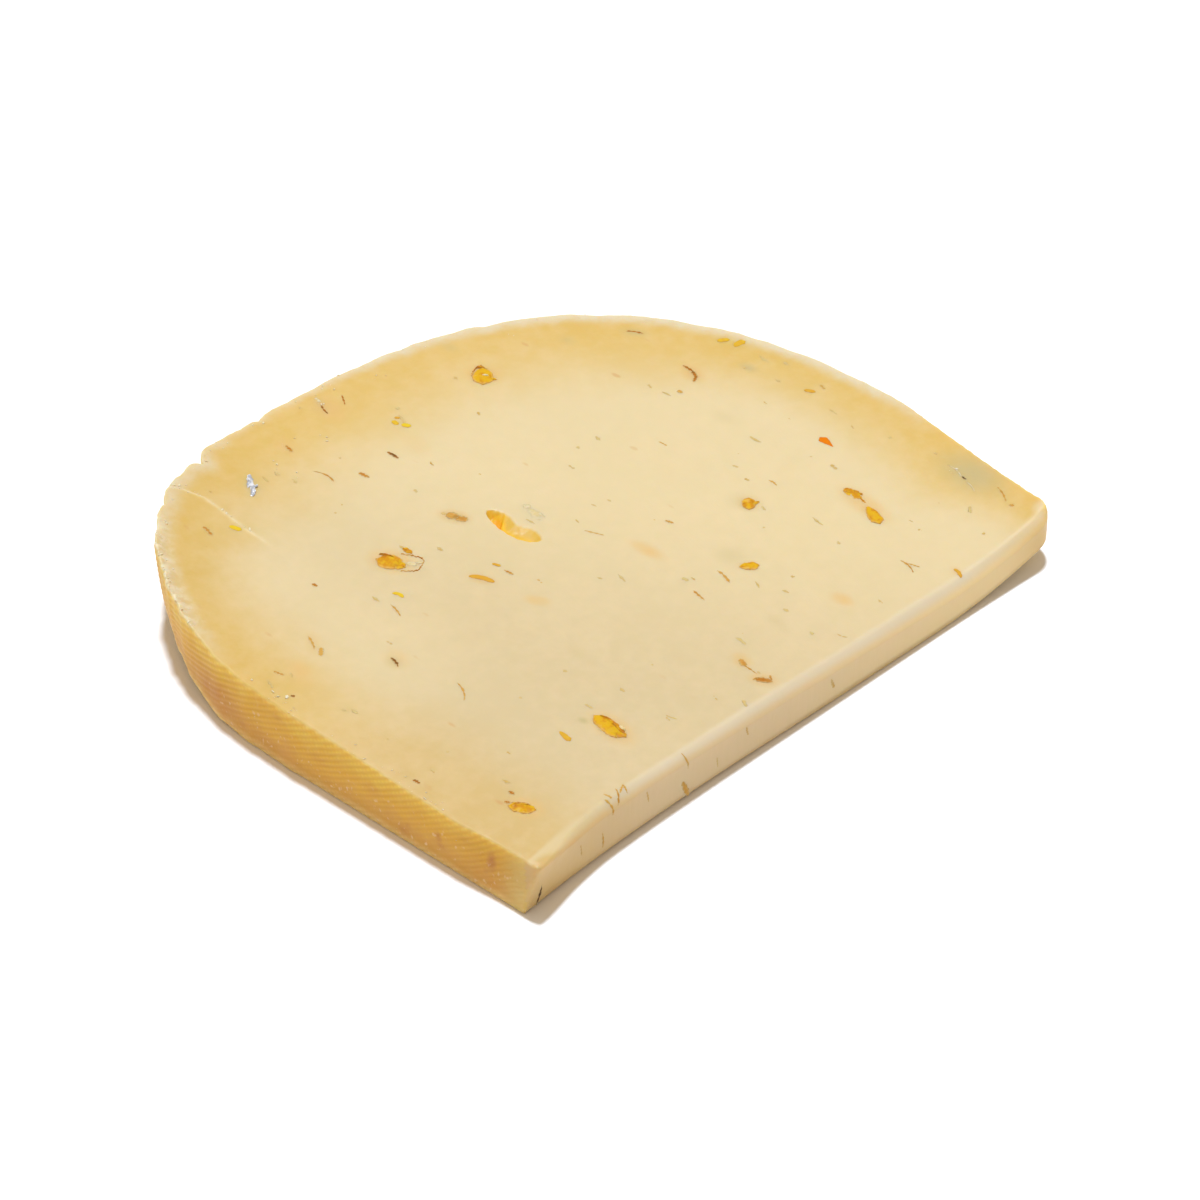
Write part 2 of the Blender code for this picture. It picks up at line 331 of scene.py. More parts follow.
def field(low, high, spacing):
    """An even field of places, each row half a step off its neighbours."""
    x, y = np.meshgrid(np.arange(low[0], high[0], spacing),
                       np.arange(low[1], high[1], spacing * 0.87))
    x[1::2] += spacing / 2
    return np.column_stack((x.ravel(), y.ravel()))


def face_places(spacing, margin, rings, patches=()):
    """Places for a face: rings that follow its edge, an even field and finer patches."""
    places = field(outline.min(axis=0), outline.max(axis=0), spacing)
    for low, high, _ in patches:
        places = places[np.any((places < low) | (places > high), axis=1)]
    places = np.vstack([places] + [field(*patch) for patch in patches])
    places = places[(nearest_gap(places, outline)[0] > margin) & within(places, outline)]
    return np.vstack([places] + [(outline - normal * inset)[::step] for inset, step in rings])


def wall_ring(share):
    """One ring round the wall, from its foot at share 0 to the upper face at share 1."""
    height = share * wall_height
    foot = np.clip(1.0 - height / foot_round, 0.0, 1.0)
    top = np.clip(1.0 - (wall_height - height) / edge, 0.0, 1.0)
    inset = undercut * (1.0 - share) - WALL_BELLY * (1.0 - cut_share) * sin(pi * share)
    inset = inset + foot_round * (1.0 - np.sqrt(1.0 - foot ** 2)) * (1.0 + 0.7 * cut_share)
    inset = inset + edge * (1.0 - (1.0 - top ** edge_power) ** (1.0 / edge_power))
    ribs = np.sin(2 * pi * rib_count(height, reach) + 1.3 * worn) * sin(pi * share) ** 0.3
    ribs = ribs * RIB_DEPTH * (0.75 + 0.5 * worn)
    inset = inset - ribs * (1.0 - cut_share) - tear * (0.35 + 0.65 * share ** 6)
    plan = outline - normal * inset[:, None] + lean * share ** 1.5
    level = thickness(*plan.T) - wall_height + relief(*(plan + to_part).T)
    return np.column_stack((plan, curl(*plan.T) + height + level * share ** 6
                            + lip * LIP_HEIGHT * share ** 14))


def filled(ring, places):
    """Triangles that fill a closed ring of the plan and pass through the places inside it."""
    points = [Vector(place) for place in np.vstack((ring, places)) / MM]
    made, _, faces, source, _, _ = delaunay_2d_cdt(points, [], [list(range(len(ring)))], 1, 1e-5)
    return np.array([tuple(point) for point in made]) * MM, faces, source


shares = np.linspace(0.0, 1.0, WALL_ROWS + 1)
shares = shares + 0.03 * np.sin(2 * pi * shares)
wall = np.array([wall_ring(share) for share in shares])
patches = [(np.array((-5.9, -0.9)) * MM - to_part, np.array((-2.3, 7.4)) * MM - to_part,
            0.085 * MM),
           (np.array((-28.2, 16.5)) * MM - to_part, np.array((-22.3, 31.5)) * MM - to_part,
            0.24 * MM)]
for seed_x, seed_y, length, width, heading, _, _ in SEEDS:
    half = np.array((abs(cos(radians(heading))) * length + width,
                     abs(sin(radians(heading))) * length + width)) / 2 + 0.3
    middle = np.array((seed_x, seed_y))
    if length > 1.5:
        patches.append(((middle - half) * MM - to_part, (middle + half) * MM - to_part,
                        0.17 * MM))
top_xy, top_faces, top_source = filled(wall[-1][:, :2], face_places(
    0.52 * MM, 1.45 * MM, ((0.26 * MM, 1), (0.45 * MM, 1), (0.75 * MM, 1), (1.3 * MM, 1)), patches))
foot_xy, foot_faces, foot_source = filled(wall[0][:, :2], face_places(
    2.5 * MM, 2.0 * MM, ((0.8 * MM, 3), (1.5 * MM, 6))))
top_gap, top_nearest = nearest_gap(top_xy, outline)
top_z = face_height(*(top_xy + to_part).T) - cheese_low.z
top_z += lip[top_nearest] * LIP_HEIGHT * smooth(LIP_WIDTH, 0.15 * MM, top_gap)
top = np.column_stack((top_xy, top_z))
foot = np.column_stack((foot_xy, curl(*foot_xy.T)))

count = OUTLINE_POINTS
points, faces = list(wall.reshape(-1, 3)), []
for row in range(WALL_ROWS):
    low, high = row * count, (row + 1) * count
    for i in range(count):
        j = (i + 1) % count
        faces.append((low + i, low + j, high + j, high + i))
for places, cap_faces, sources, start, turn in (
        (top, top_faces, top_source, WALL_ROWS * count, 1),
        (foot, foot_faces, foot_source, 0, -1)):
    index = []
    for place, source in zip(places, sources):
        on_ring = [number for number in source if number < count]
        index.append(start + on_ring[0] if on_ring else len(points))
        if not on_ring:
            points.append(place)
    faces.extend(tuple(index[i] for i in face)[::turn] for face in cap_faces)
points = np.array(points)
points[:, :2] += to_part
points[:, 2] += cheese_low.z
mesh = bpy.data.meshes.new("cheese_body")
mesh.from_pydata(points.tolist(), [], faces)
mesh.validate()
mesh.shade_smooth()
cheese = bpy.data.objects.new("cheese_body", mesh)
bpy.context.collection.objects.link(cheese)

# Stains in the paste: place, half length, half width, heading and strength.
GREY_STAINS = ((36.7, -22.4, 6.0, 3.6, -101, 0.85), (34.7, 6.7, 1.4, 0.9, -90, 0.7),
               (-28.5, -4.8, 1.3, 1.0, -109, 0.5), (-3.2, 31.3, 2.0, 1.4, -110, 0.35),
               (-21.8, -23.5, 0.8, 0.6, -90, 0.9), (16.3, -9.4, 2.2, 2.0, -60, 0.30),
               (8.3, -15.0, 2.5, 2.0, -90, 0.30), (-18.4, 25.9, 2.1, 1.2, -120, 0.45),
               (30.8, 19.4, 2.0, 1.0, -58, 0.45), (24.4, 23.2, 1.4, 1.0, -90, 0.35),
               (14.3, 30.6, 1.4, 1.0, -90, 0.35), (3.5, -25.5, 2.0, 1.2, -100, 0.3),
               (-14.5, -16.0, 2.6, 1.2, -98, 0.25), (26.0, 2.0, 2.5, 1.4, -95, 0.2))
WARM_STAINS = ((-3.0, 30.8, 3.0, 2.0, -110, 0.8), (-11.0, 28.6, 1.9, 1.4, -104, 0.6),
               (11.0, -27.4, 1.6, 1.1, -90, 0.8), (-35.8, 0.5, 1.9, 1.2, -114, 0.7),
               (-11.2, -7.1, 1.6, 1.0, -62, 0.7), (-12.7, -0.9, 1.9, 0.9, -66, 0.8),
               (2.9, -8.6, 2.6, 1.1, -88, 0.8), (-28.0, -4.6, 2.0, 1.6, -109, 0.4),
               (24.9, -18.2, 4.5, 1.8, -100, 0.8), (-3.75, -27.4, 1.6, 1.1, -114, 0.8),
               (-4.5, -30.9, 1.8, 1.2, -56, 0.9), (16.35, -10.05, 1.7, 1.5, 43, 0.6),
               (8.4, -17.3, 1.5, 1.1, -34, 0.5),
               (-20.6, -26.2, 3.4, 1.9, -98, 1.0), (-17.0, 7.2, 2.9, 2.3, -68, 1.0),
               (13.2, 24.5, 2.4, 2.1, -60, 1.0), (-35.4, -29.0, 2.3, 1.9, -70, 1.0),
               (-7.1, 8.4, 2.1, 1.3, -66, 1.0), (-32.2, 2.6, 2.4, 0.9, -125, 0.5),
               (29.6, 10.1, 2.2, 1.4, -112, 1.0), (22.7, -32.4, 1.4, 0.8, -113, 0.5),
               (-36.6, 0.2, 3.0, 1.6, -110, 0.4), (-1.0, 20.0, 2.6, 1.6, -95, 0.25))


def stained(stains, core=0.0):
    share = np.zeros(len(points))
    for x, y, half_length, half_width, heading, strength in stains:
        gap = seed_gap(*points[:, :2].T, (x, y, 2 * half_length, 2 * half_width, heading, 0, 0))
        share = np.maximum(share, strength * smooth(1.15, core, gap))
    return share * (up > 0.9)


plan = points[:, :2] - to_part
nearest = nearest_gap(plan, outline)[1]
wall_count = len(wall) * count
up = np.concatenate((np.repeat(shares, count), np.ones(len(points) - wall_count)))
up[points[:, 2] < cheese_low.z + curl(*plan.T) + 0.1 * MM] = 0.0
wall_share = (np.arange(len(points)) < wall_count) * (1.0 - smooth(0.975, 1.0, up))
drop = (1.0 - up) * wall_height[nearest]
right_low = smooth(20 * MM, 36 * MM, plan[:, 0])
left_shoulder = smooth(16 * MM, 32 * MM, plan[:, 1]) * smooth(-8 * MM, -22 * MM, plan[:, 0])
right_side = smooth(-5 * MM, 25 * MM, plan[:, 0])
flat_side = smooth(38 * MM, 24 * MM, plan[:, 1]) * smooth(10 * MM, -10 * MM, plan[:, 0])
shoulder_share = np.where(plan[:, 0] < 0, smooth(38 * MM, 49 * MM, plan[:, 1]),
                          smooth(18 * MM, 30 * MM, plan[:, 1]))
left_band = smooth(33 * MM, 42 * MM, plan[:, 1]) * smooth(-3 * MM, -15 * MM, plan[:, 0])
fringe = nearest_gap(plan, outline[cut_share < 0.5])[0] / (1.0 + 1.1 * right_side + 1.3 * left_band)
fringe = smooth(1.1 * MM, 0.1 * MM, fringe) * (0.65 + 0.55 * right_side + 0.15 * left_band)
# Spots where the rind dried darker: way round from the front corner, share of the height, half
# width and half height in millimetres, strength.
RIND_SPOTS = ((4.6, 0.62, 0.8, 1.5, 0.8), (5.2, 0.42, 0.5, 0.7, 0.5), (11.3, 0.50, 0.5, 0.7, 0.75),
              (11.0, 0.37, 0.7, 0.35, 0.6), (16.0, 0.20, 1.0, 0.8, 0.55), (15.4, 0.34, 0.4, 0.5, 0.4),
              (27.5, 0.55, 2.0, 0.8, 0.2), (38.3, 0.27, 1.0, 0.7, 0.55), (44.3, 0.33, 1.6, 0.9, 0.7),
              (42.5, 0.38, 6.0, 2.6, 0.60), (35.0, 0.25, 3.5, 1.3, 0.30), (33.0, 0.80, 1.3, 0.5, 0.25),
              (8.0, 0.75, 1.2, 0.6, 0.25), (20.0, 0.60, 1.5, 0.9, 0.2), (3.5, 0.45, 6.5, 4.0, 0.24))
spotted = np.zeros(len(points))
for round_by, share, half_width, half_height, strength in RIND_SPOTS:
    gap = np.hypot((reach[-1] - reach[nearest] - round_by * MM) / (half_width * MM),
                   (up - share) * wall_height[nearest] / (half_height * MM))
    spotted = np.maximum(spotted, strength * smooth(1.3, 0.1, gap))
sunk = eye_depth(points[:, 0], points[:, 1])
fold = eye_fold(points[:, 0], points[:, 1]) / MM
near_side = 1.0 - eye_across(points[:, 0], points[:, 1])
SURFACE_NUMBERS = {
    "from_rind": nearest_gap(plan, outline[cut_share < 0.5])[0] / MM,
    "ripening": nearest_gap(plan, outline[cut_share < 0.5])[0] / MM * (
        1.0 + right_low * (0.4 * smooth(50 * MM, 30 * MM, plan[:, 1])
                           + 1.2 * smooth(14 * MM, 0.0, plan[:, 1]))
        + 0.45 * left_shoulder + 0.2 * flat_side),
    "flat_side": flat_side,
    # Painted shade: how far the paste is darkened towards the front left, where the light falls off.
    "painted_falloff_shade": smooth(40 * MM, -2 * MM, plan[:, 0] + 0.6 * plan[:, 1]) * (1.0 - 0.6 * left_shoulder),
    "spot": spotted,
    "from_cut": np.hypot(nearest_gap(plan, outline[cut_share > 0.5])[0], drop)
    / cut_edge(plan[:, 0]),
    "edge_down": drop / cut_edge(plan[:, 0]),
    # Painted shade: how far towards the front corner the cut side and its edge are painted darker,
    # where the light falls off.
    "front": smooth(-13 * MM, -29 * MM, plan[:, 0]),
    "along": reach[nearest] / MM,
    "height": up * wall_height[nearest] / MM,
    "up": up,
    "rind": wall_share * (1.0 - cut_share[nearest]),
    "cut": wall_share * cut_share[nearest],
    "rib": rib_count(up * wall_height[nearest], reach[nearest]),
    "fringe": fringe * shoulder_share * up ** 3,
    "lip": np.clip(lip[nearest], 0, 1) * fringe * up ** 8,
    "eye": sunk * (up > 0.99),
    # Painted light: how deep a gold glow each place on the eye's walls takes.
    "eye_glow": np.where(fold > 0, smooth(2.9, 0.3, fold) * smooth(0.05, 0.70, near_side),
                         0.5 * smooth(0.35, 0.95, near_side) + 0.35 * smooth(-1.0, 0.0, fold)),
    "grey": stained(GREY_STAINS),
    "warm": stained(WARM_STAINS, 0.25),
    "corner": smooth(4.5 * MM, 0.3 * MM, reach[-1] - reach[nearest]),
    "crease": np.exp(-(crease_side(*points[:, :2].T) / (0.3 * MM)) ** 2)
    * smooth(16.5 * MM, 19 * MM, points[:, 1]) * smooth(31 * MM, 30 * MM, points[:, 1]),
    "beyond_crease": smooth(0.3 * MM, -0.3 * MM, crease_side(*points[:, :2].T))
    * smooth(17 * MM, 20 * MM, points[:, 1]),
}
for name, values in SURFACE_NUMBERS.items():
    mesh.attributes.new(name, "FLOAT", "POINT").data.foreach_set("value", values)


class Link:
    """A value, colour or direction on its way through a material: one output socket.

    Sums and products of links add Math nodes, and node() adds any other kind of node."""

    def __init__(self, tree, socket=None):
        self.tree = tree
        self.socket = socket

    def node(self, kind, settings=None, inputs=None, output=0):
        """Adds a node: its settings first, then the values or links of its sockets."""
        made = self.tree.nodes.new(kind)
        for name, value in (settings or {}).items():
            setattr(made, name, value)
        for name, value in (inputs or {}).items():
            if isinstance(value, Link):
                self.tree.links.new(value.socket, made.inputs[name])
            else:
                made.inputs[name].default_value = value
        return Link(self.tree, made.outputs[output])

    def math(self, operation, *values):
        return self.node("ShaderNodeMath", {"operation": operation}, dict(enumerate(values)))

    def __add__(self, other):
        return self.math("ADD", self, other)

    def __sub__(self, other):
        return self.math("SUBTRACT", self, other)

    def __rsub__(self, other):
        return self.math("SUBTRACT", other, self)

    def __mul__(self, other):
        return self.math("MULTIPLY", self, other)

    def __pow__(self, other):
        return self.math("POWER", self, other)

    __radd__ = __add__
    __rmul__ = __mul__

    def step(self, low, high):
        """0 at low, 1 at high and a soft step between, also where high is below low."""
        return self.node("ShaderNodeMapRange", {"interpolation_type": "SMOOTHSTEP"},
                         {"Value": self, "From Min": low, "From Max": high})

    def blend(self, first, second):
        """A colour: first where this mask is 0, second where it is 1."""
        colours = [value if isinstance(value, Link) else (*value, 1.0)
                   for value in (first, second)]
        return self.node("ShaderNodeMix", {"data_type": "RGBA"},
                         {0: self, 6: colours[0], 7: colours[1]}, output=2)

    def tinted(self, colour, tint):
        """The colour, multiplied by the tint where this mask is 1."""
        return self.node("ShaderNodeMix", {"data_type": "RGBA", "blend_type": "MULTIPLY"},
                         {0: self, 6: colour, 7: (*tint, 1.0)}, output=2)

    def number(self, name):
        """A number stored on the mesh's points."""
        return self.node("ShaderNodeAttribute", {"attribute_name": name}, output=2)

    def noise(self, where, scale, detail=2.0, roughness=0.5):
        return self.node("ShaderNodeTexNoise", None, {"Vector": where, "Scale": scale,
                                                      "Detail": detail, "Roughness": roughness})

    def stretched(self, where, sizes, turn=0.0):
        """The same places measured in other lengths, for grain that runs one way."""
        return self.node("ShaderNodeMapping", None, {
            "Vector": where, "Scale": tuple(1.0 / size for size in sizes),
            "Rotation": (0.0, 0.0, turn)})


def finish(name, roughness, plain=None):
    """A new surface finish: its material, its shader's sockets and a start for its links."""
    made = bpy.data.materials.new(name)
    made.use_nodes = True
    sockets = made.node_tree.nodes["Principled BSDF"].inputs
    sockets["Roughness"].default_value = roughness
    for socket, value in (plain or {}).items():
        sockets[socket].default_value = value
    return made, sockets, Link(made.node_tree)


PALE_PASTE, YELLOW_PASTE = (0.618, 0.503, 0.280), (0.583, 0.393, 0.107)
FLAT_YELLOW, FALLOFF_PAINTED_SHADE = (0.608, 0.440, 0.172), (0.885, 0.865, 0.860)
EDGE_PAINTED_SHEEN, CUT_PASTE, THIN_END_PAINTED_GLOW = (0.610, 0.525, 0.370), (0.605, 0.466, 0.245), (0.78, 0.605, 0.298)
FRONT_EDGE_PAINTED_SHADE, FRONT_CUT_PAINTED_SHADE, CUT_FOOT_PAINTED_SHADE = (0.520, 0.425, 0.240), (0.590, 0.410, 0.167), (0.52, 0.355, 0.155)
PALE_SKIN, CRUMB_WHITE = (0.590, 0.510, 0.33), (0.72, 0.64, 0.46)
RIND_TOP, RIND_MIDDLE, RIND_LOW = (0.800, 0.565, 0.068), (0.730, 0.415, 0.030), (0.62, 0.330, 0.055)
RIND_RIM, RIND_FOOT_PAINTED_LIGHT, RIND_GAP = (0.84, 0.66, 0.17), (0.96, 0.67, 0.270), (0.55, 0.27, 0.036)
RIND_SPOT, RIND_CORNER = (0.50, 0.215, 0.040), (0.62, 0.46, 0.150)
EYE_GOLD_GLOW, EYE_PALE_LIT, EYE_DEEP_GLOW = (0.72, 0.42, 0.018), (0.60, 0.38, 0.055), (0.72, 0.31, 0.001)
GREY_STAIN, WARM_STAIN = (0.450, 0.365, 0.172), (0.615, 0.385, 0.135)

paste, sockets, start = finish("paste_and_rind", 0.45, {
    "Subsurface Weight": 0.4, "Subsurface Radius": (1.0, 0.55, 0.22),
    "Subsurface Scale": 0.0025, "Specular IOR Level": 0.3})
where = start.node("ShaderNodeTexCoord", output=3)
from_rind, from_cut = start.number("from_rind"), start.number("from_cut")
up, height, along = start.number("up"), start.number("height"), start.number("along")
rind, cut, eye = start.number("rind"), start.number("cut"), start.number("eye")

clouds = start.noise(where, 110.0, 3.0, 0.55)
fine_clouds = start.noise(where, 700.0, 3.0, 0.6)
grain = start.noise(where, 2600.0, 2.0)

# The paste: paler in the middle of the wheel, deeper towards the rind, pale again in the skin.
near_rind = (start.number("ripening") + (clouds - 0.5) * 5.0).step(18.0, 2.0)
ripe = start.number("flat_side").blend(YELLOW_PASTE, FLAT_YELLOW)
colour = near_rind.blend(PALE_PASTE, ripe)
colour = (start.number("beyond_crease") * 0.35).blend(colour, YELLOW_PASTE)
# Painted shade: the upper face darker towards the front left, where the light falls off.
colour = start.number("painted_falloff_shade").tinted(colour, FALLOFF_PAINTED_SHADE)
colour = ((clouds - 0.5) * 0.45 + (fine_clouds - 0.5) * 0.50 + 0.08).blend(
    colour, (0.70, 0.54, 0.32))
colour = (start.number("crease") * (fine_clouds * 0.9 + 0.1)).blend(colour, (0.72, 0.60, 0.36))
colour = start.number("grey").blend(colour, GREY_STAIN)
colour = (start.number("warm") * (fine_clouds * 0.8 + 0.35)).blend(colour, WARM_STAIN)
skin = start.number("fringe") * (fine_clouds * 1.3 + 0.25)
colour = skin.blend(colour, PALE_SKIN)
colour = (start.number("lip") * fine_clouds.step(0.40, 0.60) * 0.6).blend(colour, CRUMB_WHITE)

# Faint flecks under the surface, lying the way that the wheel was pressed.
fleck_places = start.stretched(where, (2.6 * MM, 6.0 * MM, 2.6 * MM))
flecks = start.node("ShaderNodeTexVoronoi", None, {"Vector": fleck_places, "Scale": 1.0})
kind = start.node("ShaderNodeSeparateColor", None, {"Color": start.node(
    "ShaderNodeTexVoronoi", None, {"Vector": fleck_places, "Scale": 1.0}, output=1)})
present = kind.step(0.50, 0.95)
fleck = (flecks + (fine_clouds - 0.5) * 0.16).step(0.13, 0.03) * present
colour = (fleck * 0.55).blend(colour, (0.52, 0.29, 0.105))

# The cut side and its rounded edge. The pale band along the edge is a painted sheen; towards the front
# corner the band and the cut side are painted darker, as painted shade.
edge_down = start.number("edge_down") + (clouds - 0.5) * 0.2
edge = (from_cut + (clouds - 0.5) * 0.5).step(1.5, 0.5) * edge_down.step(1.0, 0.3)
edge_sheen_colour = start.number("front").blend(EDGE_PAINTED_SHEEN, FRONT_EDGE_PAINTED_SHADE)
edge_sheen_colour = (from_rind.step(16.0, 2.0) * 0.7).blend(edge_sheen_colour, (0.615, 0.480, 0.240))
colour = edge.blend(colour, edge_sheen_colour)
streaks = start.noise(start.node("ShaderNodeCombineXYZ", None, {
    "X": along * 1.6, "Y": height * 0.35}), 1.0, 3.0)
cut_colour = (streaks * 0.8).blend(CUT_PASTE, (0.66, 0.49, 0.28))
# Painted light: the cut side lighter towards the thin right end, a glow of light through the thin
# cheese.
cut_colour = (along.step(28.0, 72.0) * cut * 0.9).blend(cut_colour, THIN_END_PAINTED_GLOW)
cut_colour = (from_rind.step(9.0, 0.5) * 0.6).blend(cut_colour, YELLOW_PASTE)
# Painted light: the cut side lighter towards its upper edge, where light comes through the rounded
# edge.
cut_colour = (up.step(0.4, 0.9) * 0.25).blend(cut_colour, (0.70, 0.56, 0.34))
# Painted shade: the cut side darker towards the front corner.
cut_colour = start.number("front").blend(cut_colour, FRONT_CUT_PAINTED_SHADE)
# Painted shade: the lowest strip of the cut side darker and warmer, for the shade at its foot.
cut_colour = (up.step(0.22, 0.06) * 0.6).blend(cut_colour, CUT_FOOT_PAINTED_SHADE)
colour = (cut * edge_down.step(0.15, 0.85)).blend(colour, cut_colour)

# The rind: cloth ribs broken into threads, golden above and browner towards the foot.
phase = start.number("rib") * (2 * pi)
rib = phase.math("SINE", phase) * 0.5 + 0.5
thread = (along * 0.9 + height * 0.42) * (2 * pi / 0.55)
thread = thread.math("SINE", thread) * 0.5 + 0.5
mottle = start.noise(where, 420.0, 4.0, 0.7)
weave = rib * (thread * 0.45 + 0.55) * (clouds * 0.8 + fine_clouds * 0.5)
level = up + (clouds - 0.5) * 0.45 + (mottle - 0.5) * 0.55
rind_colour = level.step(1.0, 0.6).blend(RIND_TOP, RIND_MIDDLE)
rind_colour = level.step(0.62, 0.15).blend(rind_colour, RIND_LOW)
blush = start.noise(where, 170.0, 2.0).step(0.50, 0.68) * level.step(0.85, 0.1)
rind_colour = (blush * 0.3).blend(rind_colour, (0.66, 0.30, 0.065))
rind_colour = (up + (mottle - 0.5) * 0.12).step(0.90, 1.0).blend(rind_colour, RIND_RIM)
# Painted light: the lowest strip of the rind lighter, against the shade of its rounded foot and for
# light bounced up from the floor.
rind_colour = (up + (mottle - 0.5) * 0.1).step(0.20, 0.02).blend(rind_colour, RIND_FOOT_PAINTED_LIGHT)
rind_colour = ((1.0 - weave) * 0.42).blend(rind_colour, RIND_GAP)
rind_colour = (start.number("spot") * (mottle * 1.9 + 0.15)).blend(rind_colour, RIND_SPOT)
rind_colour = (start.number("corner") * (mottle * 0.8 + 0.35)).blend(rind_colour, RIND_CORNER)
dust = start.noise(where, 1700.0, 1.0).step(0.64, 0.78) * level.step(0.9, 0.2)
rind_colour = (dust * 0.5).blend(rind_colour, (0.80, 0.62, 0.38))
rind_edge = (up + (mottle - 0.5) * 0.05).step(1.0, 0.955)
colour = (rind * (rind_edge * 0.8 + 0.2)).blend(colour, rind_colour)

# The walls of the eye, in painted light: the deep gold towards the near side is a painted glow of
# light through the paste, and all three colours are lightened against the shade in the hollow.
gold = start.number("eye_glow") + (fine_clouds - 0.5) * 0.3
eye_colour = gold.step(0.0, 0.55).blend(EYE_PALE_LIT, EYE_GOLD_GLOW)
eye_colour = gold.step(0.55, 1.0).blend(eye_colour, EYE_DEEP_GLOW)
colour = eye.step(0.01, 0.14).blend(colour, eye_colour)
start.tree.links.new(colour.socket, sockets["Base Color"])

arc_places = start.node("ShaderNodeVectorMath", {"operation": "LENGTH"}, {
    0: start.node("ShaderNodeVectorMath", {"operation": "MULTIPLY"}, {
        0: start.node("ShaderNodeVectorMath", {"operation": "ADD"},
                      {0: where, 1: (0.158, -0.032, 0.0)}), 1: (1.0, 1.0, 0.0)})}, output=1)
arcs = start.node("ShaderNodeTexNoise", {"noise_dimensions": "1D"},
                  {"W": arc_places, "Scale": 1400.0, "Detail": 2.0})
depth = (rind * (weave * 0.7 + mottle * 0.7) + grain * 0.10 + fine_clouds * 0.22
         + arcs * clouds.step(0.45, 0.7) * 0.20 + cut * streaks * 0.35)
bump = start.node("ShaderNodeBump", None, {"Strength": 0.7, "Distance": 0.07 * MM,
                                           "Height": depth})
start.tree.links.new(bump.socket, sockets["Normal"])
wax = (fine_clouds - 0.5) * 0.25 + rind * 0.12 + 0.42
start.tree.links.new(wax.socket, sockets["Roughness"])
mesh.materials.append(paste)
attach(cheese, "root")
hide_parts("cheese_slice")

# ------------------------------------------------------------------ the golden seeds
# Whole and broken seeds of the spice, soaked golden in the curd. The wire sliced or dragged
# them, so each lies in its own shallow socket with a torn amber skin round its edge.


def body_along(spine, half_widths, rise, sink, around=14, lumps=0.0, key=0.0, lay=on_top,
               ragged=0.0):
    """A closed body lying in the paste along a line of places, half_widths wide at each. It
    rises above the surface and reaches down below it; its outline is ragged by that much.
    Gives points, faces and the share of each point on the body's outline."""
    spine, half_widths = np.array(spine) * MM, np.array(half_widths) * MM
    ahead = np.gradient(spine, axis=0)
    ahead /= np.linalg.norm(ahead, axis=1)[:, None]
    aside = np.column_stack((-ahead[:, 1], ahead[:, 0]))
    turn = np.linspace(0.0, 2 * pi, around, endpoint=False)
    plan = spine[:, None, :] + aside[:, None, :] * (half_widths[:, None] * np.cos(turn))[..., None]
    torn_by = rough(plan.reshape(-1, 2), 0.4 * MM, key) + 0.7 * rough(
        plan.reshape(-1, 2), 0.17 * MM, key + 1.0)
    plan = plan + ragged * MM * torn_by.reshape(plan.shape[:2])[..., None] * (
        aside[:, None, :] * np.sign(np.cos(turn))[None, :, None] + 0.5 * ahead[:, None, :])
    full = half_widths / half_widths.max()
    lift = np.where(np.sin(turn) > 0, rise, sink) * MM
    height = np.sqrt(full)[:, None] * (np.sin(turn) * lift)[None, :]
    flat_plan = plan.reshape(-1, 2)
    bump = rough(flat_plan, 0.55 * MM, key) + 0.6 * rough(flat_plan, 0.25 * MM, key + 3.0)
    bump *= lumps * MM * (np.tile(np.sin(turn), len(spine)) > -0.1)
    rim = np.tile(np.abs(np.cos(turn)) ** 3, len(spine)) + np.repeat((1 - full) ** 2, around)
    tips = np.array((spine[0] - ahead[0] * half_widths[0], spine[-1] + ahead[-1] * half_widths[-1]))
    solid = list(lay(*flat_plan.T, height.ravel() + bump)) + list(lay(*tips.T, -0.02 * MM))
    sides = []
    for row in range(len(spine) - 1):
        for i in range(around):
            j = (i + 1) % around
            sides.append((row * around + i, (row + 1) * around + i,
                          (row + 1) * around + j, row * around + j))
    last = (len(spine) - 1) * around
    for i in range(around):
        j = (i + 1) % around
        sides.append((len(solid) - 2, i, j))
        sides.append((len(solid) - 1, last + j, last + i))
    return np.array(solid), sides, np.append(np.clip(rim, 0, 1), (1.0, 1.0))


def curved(x, y, length, heading, bend=0.0, steps=13):
    """A line of places through a middle, of that length, bowed to one side by a share of it."""
    turn = radians(heading)
    ahead, aside = np.array((cos(turn), sin(turn))), np.array((-sin(turn), cos(turn)))
    t = np.linspace(-0.5, 0.5, steps)[:, None]
    return np.array((x, y)) + ahead * t * length + aside * bend * length * (1 - 4 * t * t)


def swelling(steps, width, taper=0.0, blunt=2.0):
    """Half widths along a body that swells in the middle; taper moves its weight forward."""
    t = np.linspace(-0.96, 0.96, steps)
    return width / 2 * (1 - np.abs(t) ** blunt) ** 0.5 * (1 + taper * t)


def joined(name, parts, numbers):
    """One mesh object from many closed bodies, with numbers stored for each body's points."""
    solid, sides, start_at = [], [], 0
    for part_points, part_faces in parts:
        solid.append(part_points)
        sides.extend(tuple(start_at + i for i in face) for face in part_faces)
        start_at += len(part_points)
    made = bpy.data.meshes.new(name)
    made.from_pydata(np.vstack(solid).tolist(), [], sides)
    made.validate()
    made.shade_smooth()
    for label, values in numbers.items():
        made.attributes.new(label, "FLOAT", "POINT").data.foreach_set(
            "value", np.concatenate(values))
    piece = bpy.data.objects.new(name, made)
    bpy.context.collection.objects.link(piece)
    return piece


